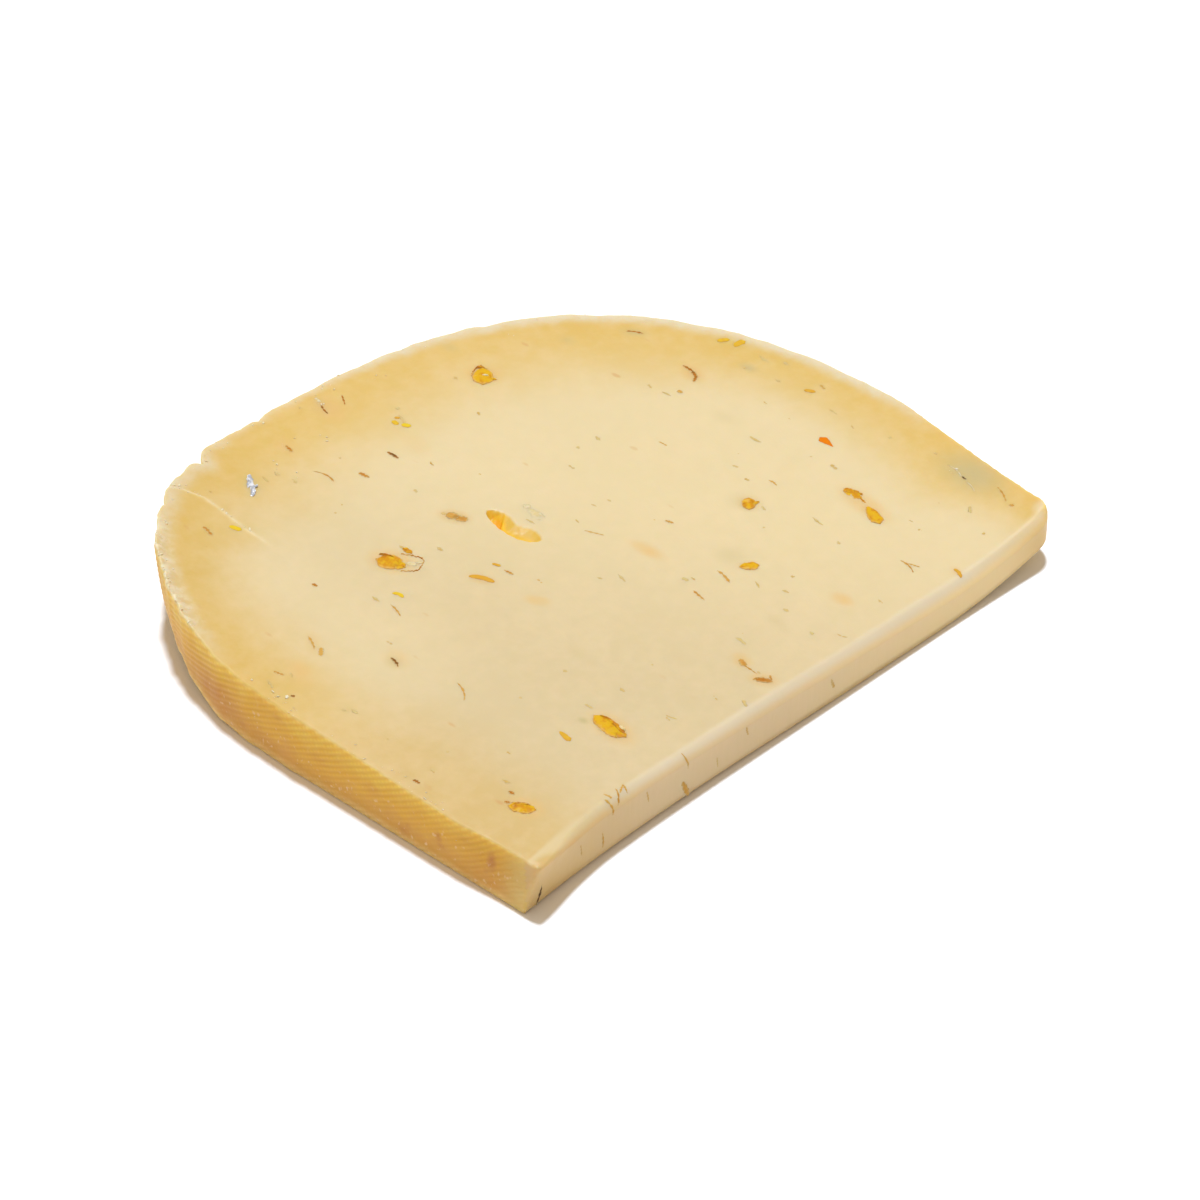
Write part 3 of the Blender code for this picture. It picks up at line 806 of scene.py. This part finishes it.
# The bodies of the seeds: place, length, width, heading, bend, taper, rise and tone, from 0 for
# clear gold to 1 for brown.
SEED_BODIES = (
    (-20.9, -25.6, 3.6, 1.75, -104, 0.06, -0.15, 0.26, 0.05),
    (-20.3, -25.9, 3.5, 0.55, -97, 0.08, 0.0, 0.31, 0.62),
    (-20.7, -27.0, 1.9, 1.10, -90, 0.0, 0.0, 0.20, 0.22),
    (-17.25, 7.3, 2.45, 2.3, -66, 0.0, -0.1, 0.24, 0.16),
    (-17.0, 6.3, 1.2, 1.3, -75, 0.0, 0.0, 0.22, 0.10),
    (-16.8, 8.2, 1.6, 0.30, -66, 0.1, 0.0, 0.26, 0.55),
    (-14.75, 7.5, 1.15, 0.65, -92, 0.1, 0.0, 0.18, 0.20),
    (13.0, 24.4, 2.7, 2.2, 45, 0.0, -0.15, 0.26, 0.0),
    (13.8, 25.6, 0.9, 0.30, -46, 0.2, 0.0, 0.24, 0.75),
    (13.4, 23.3, 0.7, 0.4, -60, 0.0, 0.0, 0.20, 0.30),
    (-35.5, -28.8, 2.35, 1.55, -58, 0.0, 0.05, 0.24, 0.28),
    (-35.2, -28.5, 1.6, 0.34, -52, 0.0, 0.0, 0.27, 0.62),
    (16.35, -10.05, 1.8, 1.45, 43, 0.0, 0.15, 0.22, 0.38),
    (16.9, -10.4, 1.0, 0.5, -10, 0.0, 0.0, 0.18, 0.20),
    (8.4, -17.3, 1.8, 1.25, -34, 0.0, 0.25, 0.22, 0.12),
    (24.2, -19.9, 2.9, 1.35, -115, 0.0, 0.35, 0.24, 0.18),
    (25.5, -16.0, 2.2, 1.25, -92, 0.0, 0.0, 0.06, 0.35),
    (25.9, -16.3, 1.1, 0.35, -86, 0.1, 0.0, 0.12, 0.60),
    (25.3, -15.4, 0.8, 0.35, -60, 0.0, 0.0, 0.10, 0.60),
    (25.3, -17.5, 1.0, 0.25, -105, 0.0, 0.0, 0.08, 0.75))
seed_parts, seed_rims, seed_tones = [], [], []
for number, (x, y, length, width, heading, bend, taper, rise, tone) in enumerate(SEED_BODIES):
    steps, around = 26, 24
    solid, sides, rim = body_along(
        curved(x, y, length, heading, bend, steps), swelling(steps, width, taper, 2.6),
        0.75 * rise, 0.55, around, 0.06, 1.7 * number, ragged=0.09)
    turn = np.column_stack((np.arange(around) * 0.55, np.full(around, 4.0 * number)))
    fibres = np.append(np.tile(rough(turn, 1.0, number), steps), (0.0, 0.0))
    flaws = rough(solid[:, :2], 0.55 * MM, number + 0.5)
    specks = rough(solid[:, :2], 0.22 * MM, number + 0.9)
    seed_parts.append((solid, sides))
    seed_rims.append(rim)
    seed_tones.append(np.clip(tone + 0.5 * fibres + 0.7 * flaws + 0.4 * specks, 0, 1))
seeds = joined("golden_seeds", seed_parts, {"rim": seed_rims, "tone": seed_tones})

gold, sockets, start = finish("seed_gold", 0.4, {
    "Subsurface Weight": 0.15, "Subsurface Radius": (1.0, 0.5, 0.05),
    "Subsurface Scale": 0.0005, "Specular IOR Level": 0.12})
where = start.node("ShaderNodeTexCoord", output=3)
fine = start.noise(where, 2400.0, 3.0, 0.6)
tone = start.number("tone") + (fine - 0.5) * 0.5
body = tone.step(0.0, 0.5).blend((0.60, 0.340, 0.006), (0.52, 0.225, 0.004))
body = tone.step(0.5, 1.0).blend(body, (0.40, 0.140, 0.008))
skin = (start.number("rim") + (fine - 0.5) * 0.6).step(0.30, 1.0)
colour = (skin * 0.8).blend(body, (0.62, 0.370, 0.100))
pale = start.noise(where, 1300.0, 2.0).step(0.60, 0.74)
colour = (pale * 0.35).blend(colour, (0.70, 0.45, 0.14))
start.tree.links.new(colour.socket, sockets["Base Color"])
bump = start.node("ShaderNodeBump", None, {"Strength": 0.6, "Distance": 0.06 * MM, "Height": fine})
start.tree.links.new(bump.socket, sockets["Normal"])
start.tree.links.new((fine * 0.4 + 0.25).socket, sockets["Roughness"])
seeds.data.materials.append(gold)
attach(seeds, "root")

# ------------------------------------------------------------------ the husks and splinters
# Slivers of seed husk, tan to nearly black, scattered through the curd. They lie along the
# wheel because it was pressed across. Most are flush with the cut; a few stand a little proud.

# Place, length, width, heading, bend, darkness from 0 for tan to 1 for nearly black.
HUSKS = (
    (-7.2, 8.7, 1.3, 1.15, -70, 0.0, 0.42), (-6.9, 7.8, 1.4, 1.0, -64, 0.0, 0.44),
    (-7.5, 9.45, 0.7, 0.4, -66, 0.0, 0.1), (-3.9, -27.65, 1.3, 0.66, -114, 0.0, 0.40),
    (-4.2, -28.9, 2.0, 0.22, -94, 0.02, 0.45), (-4.5, -31.0, 1.7, 0.85, -56, 0.0, 0.55),
    (-4.95, -30.3, 0.6, 0.34, -10, 0.0, 0.45), (-3.75, -31.2, 0.8, 0.3, 55, 0.0, 0.50),
    (29.87, 10.8, 1.8, 0.40, -95, 0.04, 0.70), (29.55, 9.75, 1.3, 0.50, -118, 0.04, 0.66),
    (28.95, 9.1, 1.2, 0.44, -151, 0.04, 0.60),
    (-11.9, 22.3, 2.9, 0.24, -87, 0.14, 0.45), (-8.7, 19.8, 1.3, 0.5, -81, 0.0, 0.50),
    (-4.1, 20.4, 1.6, 0.42, -91, 0.04, 0.82), (-3.4, 31.1, 1.9, 0.26, -111, -0.06, 0.75),
    (-0.8, 31.0, 1.9, 0.22, -123, 0.0, 0.62), (-11.0, 28.4, 1.4, 0.4, -104, 0.0, 0.50),
    (-27.7, 22.5, 1.6, 0.42, -100, 0.08, 0.45), (30.8, 19.4, 1.9, 0.30, -58, 0.08, 0.70),
    (35.5, -27.2, 2.9, 0.24, -122, 0.05, 0.40), (19.9, -28.1, 2.4, 0.22, -107, 0.10, 0.45),
    (20.6, -28.4, 1.3, 0.22, -70, 0.0, 0.42), (5.2, -16.8, 2.4, 0.30, -106, 0.05, 0.38),
    (1.1, -17.3, 1.9, 0.30, -102, 0.0, 0.45), (8.1, -6.8, 1.0, 0.3, -74, 0.0, 0.40),
    (-35.1, -28.2, 1.7, 0.14, -50, 0.05, 0.62),
    (-28.5, -4.8, 1.6, 0.32, -109, 0.08, 0.85), (-22.5, 1.2, 2.2, 0.22, -108, 0.05, 0.38),
    (-32.2, 2.9, 2.2, 0.26, -118, 0.06, 0.32), (-32.5, 1.2, 1.4, 0.5, -135, 0.0, 0.30),
    (-37.8, 1.5, 1.2, 0.28, -77, 0.0, 0.45), (-27.1, -12.4, 2.8, 0.20, -122, 0.10, 0.35),
    (-9.9, -1.9, 1.2, 0.3, -83, 0.0, 0.42), (1.2, -3.0, 2.1, 0.22, -67, 0.0, 0.20),
    (-25.4, 9.5, 0.7, 0.4, -80, 0.0, 0.55), (34.5, -29.4, 0.6, 0.35, -90, 0.0, 0.35),
    (26.1, 8.5, 0.7, 0.5, -90, 0.0, 0.35), (-34.6, -26.6, 0.7, 0.45, -85, 0.0, 0.60),
    (-35.9, -27.3, 0.6, 0.35, -60, 0.0, 0.5), (35.6, -22.2, 0.7, 0.34, -105, 0.0, 1.0),
    (-39.3, -2.0, 0.5, 0.34, -60, 0.0, 0.8), (-40.0, -19.4, 0.9, 0.34, -85, 0.1, 0.75),
    (-27.6, -33.4, 1.7, 0.20, -128, 0.1, 0.4), (-26.6, -33.1, 1.2, 0.22, -150, 0.0, 0.35),
    (-26.3, -33.3, 0.9, 0.22, -110, 0.0, 0.3), (-28.4, -33.0, 0.9, 0.25, -80, 0.0, 0.3),
    (20.9, -9.2, 1.2, 0.26, -95, 0.1, 0.35), (17.8, 3.2, 1.1, 0.2, -88, 0.0, 0.3))
# The same, on the cut side: place along it, height above the floor, and so on.
CUT_HUSKS = ((-29.0, 5.0, 1.5, 0.28, -85, 0.1, 0.26), (-18.5, 4.5, 1.9, 0.22, -82, 0.05, 0.22),
             (-18.7, 1.4, 2.2, 0.60, -68, 0.0, 0.26), (-30.4, 2.1, 1.8, 0.25, -88, 0.05, 0.22),
             (-10.0, 3.4, 1.1, 0.25, -75, 0.0, 0.15), (2.3, 2.4, 1.3, 0.35, -70, 0.0, 0.18),
             (-39.8, 1.6, 2.4, 0.42, -100, 0.08, 0.95), (-33.6, 3.0, 1.6, 0.2, -78, 0.0, 0.15),
             (-24.0, 3.5, 1.4, 0.2, -80, 0.0, 0.15), (-14.2, 2.0, 1.2, 0.2, -84, 0.0, 0.12))
rng = np.random.default_rng(7)
husk_parts, husk_tones, husk_rims = [], [], []
husk_rows = [(row, 0.03, 0.10, on_top) for row in HUSKS]
husk_rows += [(row, 0.03, 0.10, on_cut) for row in CUT_HUSKS]
listed = len(husk_rows)
while len(husk_rows) < listed + 90:
    place = np.array((rng.uniform(-40, 41), rng.uniform(-34, 33)))
    length, heading = rng.gamma(4.0, 0.20), rng.normal(-95, 16)
    width, bend, dark = rng.uniform(0.16, 0.4), rng.normal(0, 0.06), rng.beta(1.6, 4.2)
    own = place[None, :] * MM - to_part
    if within(own, outline)[0] and nearest_gap(own, outline)[0][0] > 1.2 * MM:
        husk_rows.append(((*place, length, width, heading, bend, 0.34 * dark), 0.012, 0.03, on_top))
for number, ((x, y, length, width, heading, bend, dark), rise, sink, lay) in enumerate(husk_rows):
    steps = 12 if number < listed else 7
    solid, sides, rim = body_along(
        curved(x, y, length, heading, bend, steps),
        swelling(steps, width, 0.15 * sin(2.4 * number), 3.0) * (
            1 + min(0.3, 0.1 / width) * np.sin(np.arange(steps) * 1.9 + number)), rise, sink, 8, 0.02,
        0.9 * number, lay, min(0.07, 0.22 * width))
    husk_parts.append((solid, sides))
    husk_tones.append(np.full(len(solid), dark) + 0.12 * rough(solid[:, :2], 0.6 * MM))
    husk_rims.append(rim)
husks = joined("husk_slivers", husk_parts, {"dark": husk_tones, "rim": husk_rims})
husk_brown, sockets, start = finish("husk_brown", 0.5, {
    "Specular IOR Level": 0.06, "Subsurface Weight": 0.3,
    "Subsurface Radius": (1.0, 0.45, 0.15), "Subsurface Scale": 0.0004})
where = start.node("ShaderNodeTexCoord", output=3)
fine = start.noise(where, 3000.0, 2.0)
dark = start.number("dark") + (fine - 0.5) * 0.18
colour = dark.step(0.0, 0.30).blend((0.58, 0.41, 0.17), (0.53, 0.285, 0.060))
colour = dark.step(0.30, 0.62).blend(colour, (0.37, 0.130, 0.012))
colour = dark.step(0.62, 1.0).blend(colour, (0.075, 0.036, 0.014))
colour = ((start.number("rim") + (fine - 0.5) * 0.4).step(0.1, 0.95) * 0.92).blend(
    colour, (0.63, 0.46, 0.200))
start.tree.links.new(colour.socket, sockets["Base Color"])
bump = start.node("ShaderNodeBump", None, {"Strength": 0.6, "Distance": 0.04 * MM, "Height": fine})
start.tree.links.new(bump.socket, sockets["Normal"])
start.tree.links.new((fine * 0.3 + 0.3).socket, sockets["Roughness"])
husks.data.materials.append(husk_brown)
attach(husks, "root")

# ------------------------------------------------------------------ the bright chips
# Chips of the seeds' kernels, lemon yellow to orange red, lying flat in the cut.

# Place, length, width, heading, bend, taper, redness from 0 for lemon to 1 for orange red.
CHIPS_OF_SEED = (
    (30.4, -8.15, 1.9, 0.78, -98, 0.0, -0.8, 1.0), (-24.9, 21.4, 1.2, 0.7, -67, 0.0, 0.0, 0.05),
    (0.2, 24.4, 0.8, 0.6, -97, 0.0, 0.0, 0.2), (0.7, 23.3, 0.9, 0.7, -60, 0.0, 0.0, 0.05),
    (36.6, 12.0, 1.2, 0.7, -30, 0.1, 0.0, 0.30), (37.4, 10.4, 1.5, 0.8, 0, 0.1, 0.2, 0.28),
    (36.2, -0.6, 1.1, 0.6, -60, 0.0, 0.0, 0.45), (22.7, -32.3, 1.4, 0.42, -113, 0.1, 0.0, 0.45),
    (-12.7, -0.9, 2.5, 0.7, -66, 0.1, 0.0, 0.5), (-24.8, -24.0, 1.6, 0.6, -101, 0.0, 0.3, 0.35),
    (-20.6, 2.8, 1.2, 0.5, -80, 0.2, 0.0, 0.1), (-9.9, -0.2, 0.9, 0.4, -70, 0.0, 0.0, 0.4),
    (1.0, 24.9, 0.5, 0.4, -40, 0.0, 0.0, 0.5))
chip_parts, chip_tones, chip_rims = [], [], []
for number, (x, y, length, width, heading, bend, taper, red) in enumerate(CHIPS_OF_SEED):
    solid, sides, rim = body_along(
        curved(x, y, length, heading, bend, 12), swelling(12, width, taper, 4.5), 0.06, 0.18, 12,
        0.03, 2.3 * number, ragged=0.04)
    chip_parts.append((solid, sides))
    chip_tones.append(np.full(len(solid), red) + 0.15 * rough(solid[:, :2], 0.5 * MM))
    chip_rims.append(rim)
chips = joined("bright_chips", chip_parts, {"red": chip_tones, "rim": chip_rims})
chip_finish, sockets, start = finish("kernel_chip", 0.5, {
    "Specular IOR Level": 0.06, "Subsurface Weight": 0.1, "Subsurface Radius": (1.0, 0.4, 0.08),
    "Subsurface Scale": 0.0006})
where = start.node("ShaderNodeTexCoord", output=3)
fine = start.noise(where, 2600.0, 2.0)
red = start.number("red") + (fine - 0.5) * 0.2
colour = red.step(0.0, 0.5).blend((0.64, 0.44, 0.02), (0.56, 0.29, 0.03))
colour = red.step(0.5, 1.0).blend(colour, (0.64, 0.165, 0.001))
colour = ((start.number("rim") + (fine - 0.5) * 0.6).step(0.5, 1.0) * 0.35).blend(
    colour, (0.58, 0.33, 0.09))
start.tree.links.new(colour.socket, sockets["Base Color"])
bump = start.node("ShaderNodeBump", None, {"Strength": 0.6, "Distance": 0.05 * MM, "Height": fine})
start.tree.links.new(bump.socket, sockets["Normal"])
start.tree.links.new((fine * 0.3 + 0.28).socket, sockets["Roughness"])
chips.data.materials.append(chip_finish)
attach(chips, "root")

# ------------------------------------------------------------------ the clear husk and scraps
# A see-through skin of seed with an amber rim, lifted beside the broken seed, and pale waxy scraps of
# paste that the wire pushed up beside the eye and elsewhere. The pale scraps on the seeds are painted
# highlights.

FILMS = (((-15.5, 7.5), (-14.9, 6.6), (-14.5, 5.6), (-14.7, 5.1), (-15.5, 4.7), (-16.2, 4.4),
          (-16.9, 4.8), (-17.5, 5.5)),
         ((12.1, 25.2), (12.75, 25.65), (13.5, 25.95), (14.3, 25.95), (14.2, 25.0), (13.8, 23.8)))
rim_parts, rim_tones, rim_rims = [], [], []
for number, ends in enumerate(pair for film in FILMS for pair in zip(film, film[1:])):
    ends = np.array(ends)
    line = np.linspace(ends[0], ends[1], 6)
    line = line + 0.06 * np.sin(np.arange(6) * 2.1 + number)[:, None]
    solid, sides, _ = body_along(line, np.full(6, 0.06) * (1 + 0.5 * np.sin(
        np.arange(6) * 2.7 + number)), 0.10, 0.1, 8, 0.04, number, ragged=0.03)
    rim_parts.append((solid, sides))
    rim_tones.append(np.full(len(solid), 0.34 + 0.22 * sin(1.7 * number)))
    rim_rims.append(np.zeros(len(solid)))
husk_rim = joined("clear_husk_rim", rim_parts, {"dark": rim_tones, "rim": rim_rims})
husk_rim.data.materials.append(husk_brown)
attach(husk_rim, "root")

# Place, length, width, heading and rise of each scrap; the four on the seeds are painted highlights.
SCRAPS_AND_SEED_HIGHLIGHTS = ((-0.9, 3.3, 2.2, 1.0, -101, 0.02), (-0.6, 5.0, 1.2, 0.7, -80, 0.02),
          (-16.0, 5.6, 0.9, 0.7, -60, 0.05), (-15.3, 5.2, 0.7, 0.35, -30, 0.08),
          (-20.1, -26.9, 0.8, 0.45, -97, 0.30), (13.1, 24.2, 0.7, 0.45, -50, 0.30),
          (36.0, -20.6, 2.5, 0.14, -106, 0.02), (34.8, -23.7, 1.9, 0.14, -115, 0.02),
          (-2.85, 32.8, 0.9, 0.4, -107, 0.03))
scrap_and_highlight_parts, scrap_and_highlight_rims = [], []
for number, (x, y, length, width, heading, rise) in enumerate(SCRAPS_AND_SEED_HIGHLIGHTS):
    solid, sides, rim = body_along(curved(x, y, length, heading, 0.08, 14),
                                   swelling(14, width, 0.2, 2.5), rise, 0.2, 14,
                                   min(0.05, 0.1 * width), number + 9, ragged=0.2 * width)
    scrap_and_highlight_parts.append((solid, sides))
    scrap_and_highlight_rims.append(rim)
scraps = joined("pale_scraps_and_highlights", scrap_and_highlight_parts, {"rim": scrap_and_highlight_rims})
scrap_and_highlight_finish, sockets, start = finish("wet_paste_and_highlight", 0.4, {
    "Subsurface Weight": 0.4, "Subsurface Radius": (1.0, 0.6, 0.3), "Subsurface Scale": 0.0012,
    "Specular IOR Level": 0.25})
where = start.node("ShaderNodeTexCoord", output=3)
fine = start.noise(where, 2200.0, 3.0)
colour = fine.step(0.3, 0.7).blend((0.62, 0.46, 0.21), (0.66, 0.52, 0.30))
start.tree.links.new(colour.socket, sockets["Base Color"])
bump = start.node("ShaderNodeBump", None, {"Strength": 0.8, "Distance": 0.06 * MM, "Height": fine})
start.tree.links.new(bump.socket, sockets["Normal"])
start.tree.links.new((fine * 0.35 + 0.25).socket, sockets["Roughness"])
scraps.data.materials.append(scrap_and_highlight_finish)
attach(scraps, "root")

# ------------------------------------------------------------------ the crumbs
# White crumbs of dry curd that the wire tore from the rind. They cling to the lip of the left
# shoulder, along the torn edge of the rind, in the crease, and as dust on the ribs.


def crumb(place, size, height_from, key):
    """One angular crumb: a ball of a few facets, pulled out of shape."""
    ball = bmesh.new()
    bmesh.ops.create_icosphere(ball, subdivisions=1 if size < 0.22 else 2, radius=size / 2 * MM)
    stretch = Vector((1.5 + 0.5 * sin(key), 0.9 + 0.3 * sin(2.3 * key), 0.45))
    turn = Matrix.Rotation(key, 3, "Z") @ Matrix.Rotation(0.8 * sin(3.1 * key), 3, "X")
    solid = []
    for vert in ball.verts:
        swell = 1.0 + 0.45 * noise.noise(vert.co / (0.45 * size * MM) + Vector((key, 0, 0)))
        solid.append(turn @ Vector([a * b * swell for a, b in zip(vert.co, stretch)]))
    sides = [tuple(vert.index for vert in face.verts) for face in ball.faces]
    ball.free()
    return np.array([tuple(point) for point in solid]) + (*place, height_from), sides


crumb_parts = []
rng = np.random.default_rng(23)


def scatter(places, sizes):
    """Crumbs lying on the upper face at these places."""
    heights = on_top(*(places * MM).T, 0.0)[:, 2]
    gap, index = nearest_gap(places * MM - to_part, outline)
    heights = heights + lip[index] * LIP_HEIGHT * smooth(LIP_WIDTH, 0.15 * MM, gap)
    for place, size, high in zip(places * MM, sizes, heights):
        crumb_parts.append(crumb(place, size, high + 0.1 * size * MM, rng.uniform(0, 50)))


# Along the edge: a side (left of x = -15 mm when the first value is below -1), the span of y in
# millimetres, crumbs per millimetre, and how far inwards they spread.
EDGE_RUNS = ((-41.5, -33.0, 4.0, 0.7, 0.5), (-41.5, 12.0, 26.0, 4.0, 0.5),
             (-41.5, -4.0, -0.5, 3.0, 0.9), (-41.5, -18.5, -15.5, 2.5, 0.8),
             (-41.5, -24.0, -21.5, 2.5, 0.8), (-40.0, 24.0, 34.0, 1.2, 0.9),
             (0.0, 20.0, 36.0, 0.5, 0.6))
for x, y_from, y_to, per_mm, spread in EDGE_RUNS:
    on_run = (on_part[:, 1] > y_from * MM) & (on_part[:, 1] < y_to * MM)
    on_run &= (on_part[:, 0] < -15 * MM) if x < -1 else (on_part[:, 0] > -15 * MM)
    on_run &= cut_share < 0.5
    run = np.flatnonzero(on_run)
    amount = int(per_mm * len(run) * reach[1] / MM)
    chosen = rng.choice(run, amount)
    inset = np.abs(rng.normal(0.15, spread, amount)).clip(0.0, 2.2)
    places = on_part[chosen] / MM - normal[chosen] * inset[:, None]
    places += rng.normal(0, 0.12, places.shape)
    kept = within(places * MM - to_part, outline)
    scatter(places[kept], rng.gamma(3.0, 0.042, amount).clip(0.06, 0.32)[kept])
crease = np.array(CREASE)
shares_along = rng.uniform(0, len(crease) - 1.001, 18)
whole = shares_along.astype(int)
places = crease[whole] + (crease[whole + 1] - crease[whole]) * (shares_along - whole)[:, None]
scatter(places + rng.normal(0, 0.22, places.shape), rng.gamma(3.0, 0.05, 18).clip(0.1, 0.4))
CRUMB_CLUSTERS = ((-3.2, 32.2, 0.3, 4), (-11.2, 29.4, 0.5, 5), (20.8, 28.1, 0.3, 3),
                  (35.6, -20.6, 0.5, 4), (-7.4, 27.3, 0.5, 4), (5.0, 31.5, 0.5, 3),
                  (-14.0, 26.0, 1.2, 5))
for x, y, spread, amount in CRUMB_CLUSTERS:
    scatter(np.array((x, y)) + rng.normal(0, spread, (amount, 2)),
            rng.gamma(3.0, 0.05, amount).clip(0.08, 0.3))
dust_index = rng.choice(np.flatnonzero((on_part[:, 0] < -30 * MM) & (cut_share < 0.3)), 26)
for index in dust_index:
    share = rng.beta(1.0, 2.2)
    low = int(share * WALL_ROWS)
    place = wall[low, index]
    crumb_parts.append(crumb(place[:2] + to_part, rng.gamma(3.0, 0.012) + 0.03,
                             place[2] + cheese_low.z, rng.uniform(0, 50)))
crumbs = joined("curd_crumbs", crumb_parts, {})
crumb_white, sockets, start = finish("crumb_white", 0.5, {
    "Subsurface Weight": 0.4, "Subsurface Radius": (1.0, 0.75, 0.5), "Subsurface Scale": 0.0006})
where = start.node("ShaderNodeTexCoord", output=3)
fine = start.noise(where, 900.0, 2.0)
colour = fine.step(0.3, 0.7).blend((0.68, 0.54, 0.30), (0.74, 0.65, 0.46))
start.tree.links.new(colour.socket, sockets["Base Color"])
bump = start.node("ShaderNodeBump", None, {"Strength": 0.5, "Distance": 0.04 * MM, "Height": fine})
start.tree.links.new(bump.socket, sockets["Normal"])
start.tree.links.new((fine * 0.3 + 0.3).socket, sockets["Roughness"])
crumbs.data.materials.append(crumb_white)
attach(crumbs, "root")

# ------------------------------------------------------------------ the crystal
# One glinting crystal of salts that ripened in the paste, bluish white and angular.

CRYSTAL = ((-17.55, 27.15, 0.5), (-17.9, 26.7, 0.75), (-18.3, 26.3, 0.85), (-18.5, 25.9, 0.9),
           (-18.8, 25.5, 0.85), (-19.1, 25.1, 0.75), (-19.4, 24.8, 0.5), (-18.2, 25.6, 0.5))
crystal_parts = []
for number, (x, y, size) in enumerate(CRYSTAL):
    place = np.array((x, y)) * MM
    high = face_height(place[:1], place[1:])[0]
    crystal_parts.append(crumb(place, size, high, 0.76 + pi * number + 0.25 * sin(5.0 * number)))
crystal = joined("salt_crystal", crystal_parts, {})
crystal.data.shade_flat()
crystal_finish, sockets, start = finish("salt_glint", 0.12, {"Specular IOR Level": 0.9})
where = start.node("ShaderNodeTexCoord", output=3)
fine = start.noise(where, 1900.0, 1.0)
# Painted glints: white patches in the crystal's grey-blue colour, on top of its own glossy shine.
colour = fine.step(0.42, 0.60).blend((0.36, 0.38, 0.42), (0.68, 0.69, 0.72))
start.tree.links.new(colour.socket, sockets["Base Color"])
bump = start.node("ShaderNodeBump", None, {"Strength": 0.9, "Distance": 0.1 * MM, "Height": fine})
start.tree.links.new(bump.socket, sockets["Normal"])
start.tree.links.new((fine * 0.3 + 0.02).socket, sockets["Roughness"])
crystal.data.materials.append(crystal_finish)
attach(crystal, "root")

# ------------------------------------------------------------------ the floor and the light
# A plain white surface under a soft lamp above and behind the slice, in an even pale room.

FLOOR_SIZE = 3.0
bpy.ops.mesh.primitive_plane_add(size=FLOOR_SIZE, location=(0.0, 0.0, cheese_low.z))
floor = bpy.context.object
floor.name = "floor"
floor_finish, sockets, _ = finish("floor_white", 0.8, {
    "Base Color": (0.93, 0.93, 0.93, 1.0), "Specular IOR Level": 0.1})
floor.data.materials.append(floor_finish)

scene = bpy.context.scene
scene.view_settings.view_transform = "Standard"
scene.world = bpy.data.worlds.new("pale_room")
scene.world.use_nodes = True
room = scene.world.node_tree.nodes["Background"].inputs
room["Color"].default_value = (1.0, 0.83, 0.64, 1.0)
room["Strength"].default_value = 0.55

VIEW_AZIMUTH, VIEW_ELEVATION, VIEW_DISTANCE = radians(-46.3), radians(36.0), 0.5
sight = Vector((-sin(VIEW_AZIMUTH), cos(VIEW_AZIMUTH), 0.0))
aside = Vector((sight.y, -sight.x, 0.0))
lamp_data = bpy.data.lights.new("soft_lamp", "SUN")
lamp_data.energy = 3.12
lamp_data.angle = radians(6.5)
lamp_data.color = (0.900, 1.0, 1.147)
lamp = bpy.data.objects.new("soft_lamp", lamp_data)
bpy.context.collection.objects.link(lamp)
toward_lamp = sight * 0.205 - aside * 0.02 + Vector((0.0, 0.0, 1.0))
lamp.rotation_euler = toward_lamp.to_track_quat("Z", "Y").to_euler()

LENS, SENSOR = 150.0, 36.0
camera_data = bpy.data.cameras.new("camera")
camera_data.sensor_width = SENSOR
camera_data.lens = LENS
camera = bpy.data.objects.new("camera", camera_data)
bpy.context.collection.objects.link(camera)
LOOK_AT = Vector((-0.95, -5.8, 0.0)) * MM
back = -sight * cos(VIEW_ELEVATION) + Vector((0.0, 0.0, sin(VIEW_ELEVATION)))
camera.location = LOOK_AT + back * VIEW_DISTANCE
camera.rotation_euler = back.to_track_quat("Z", "Y").to_euler()
scene.camera = camera
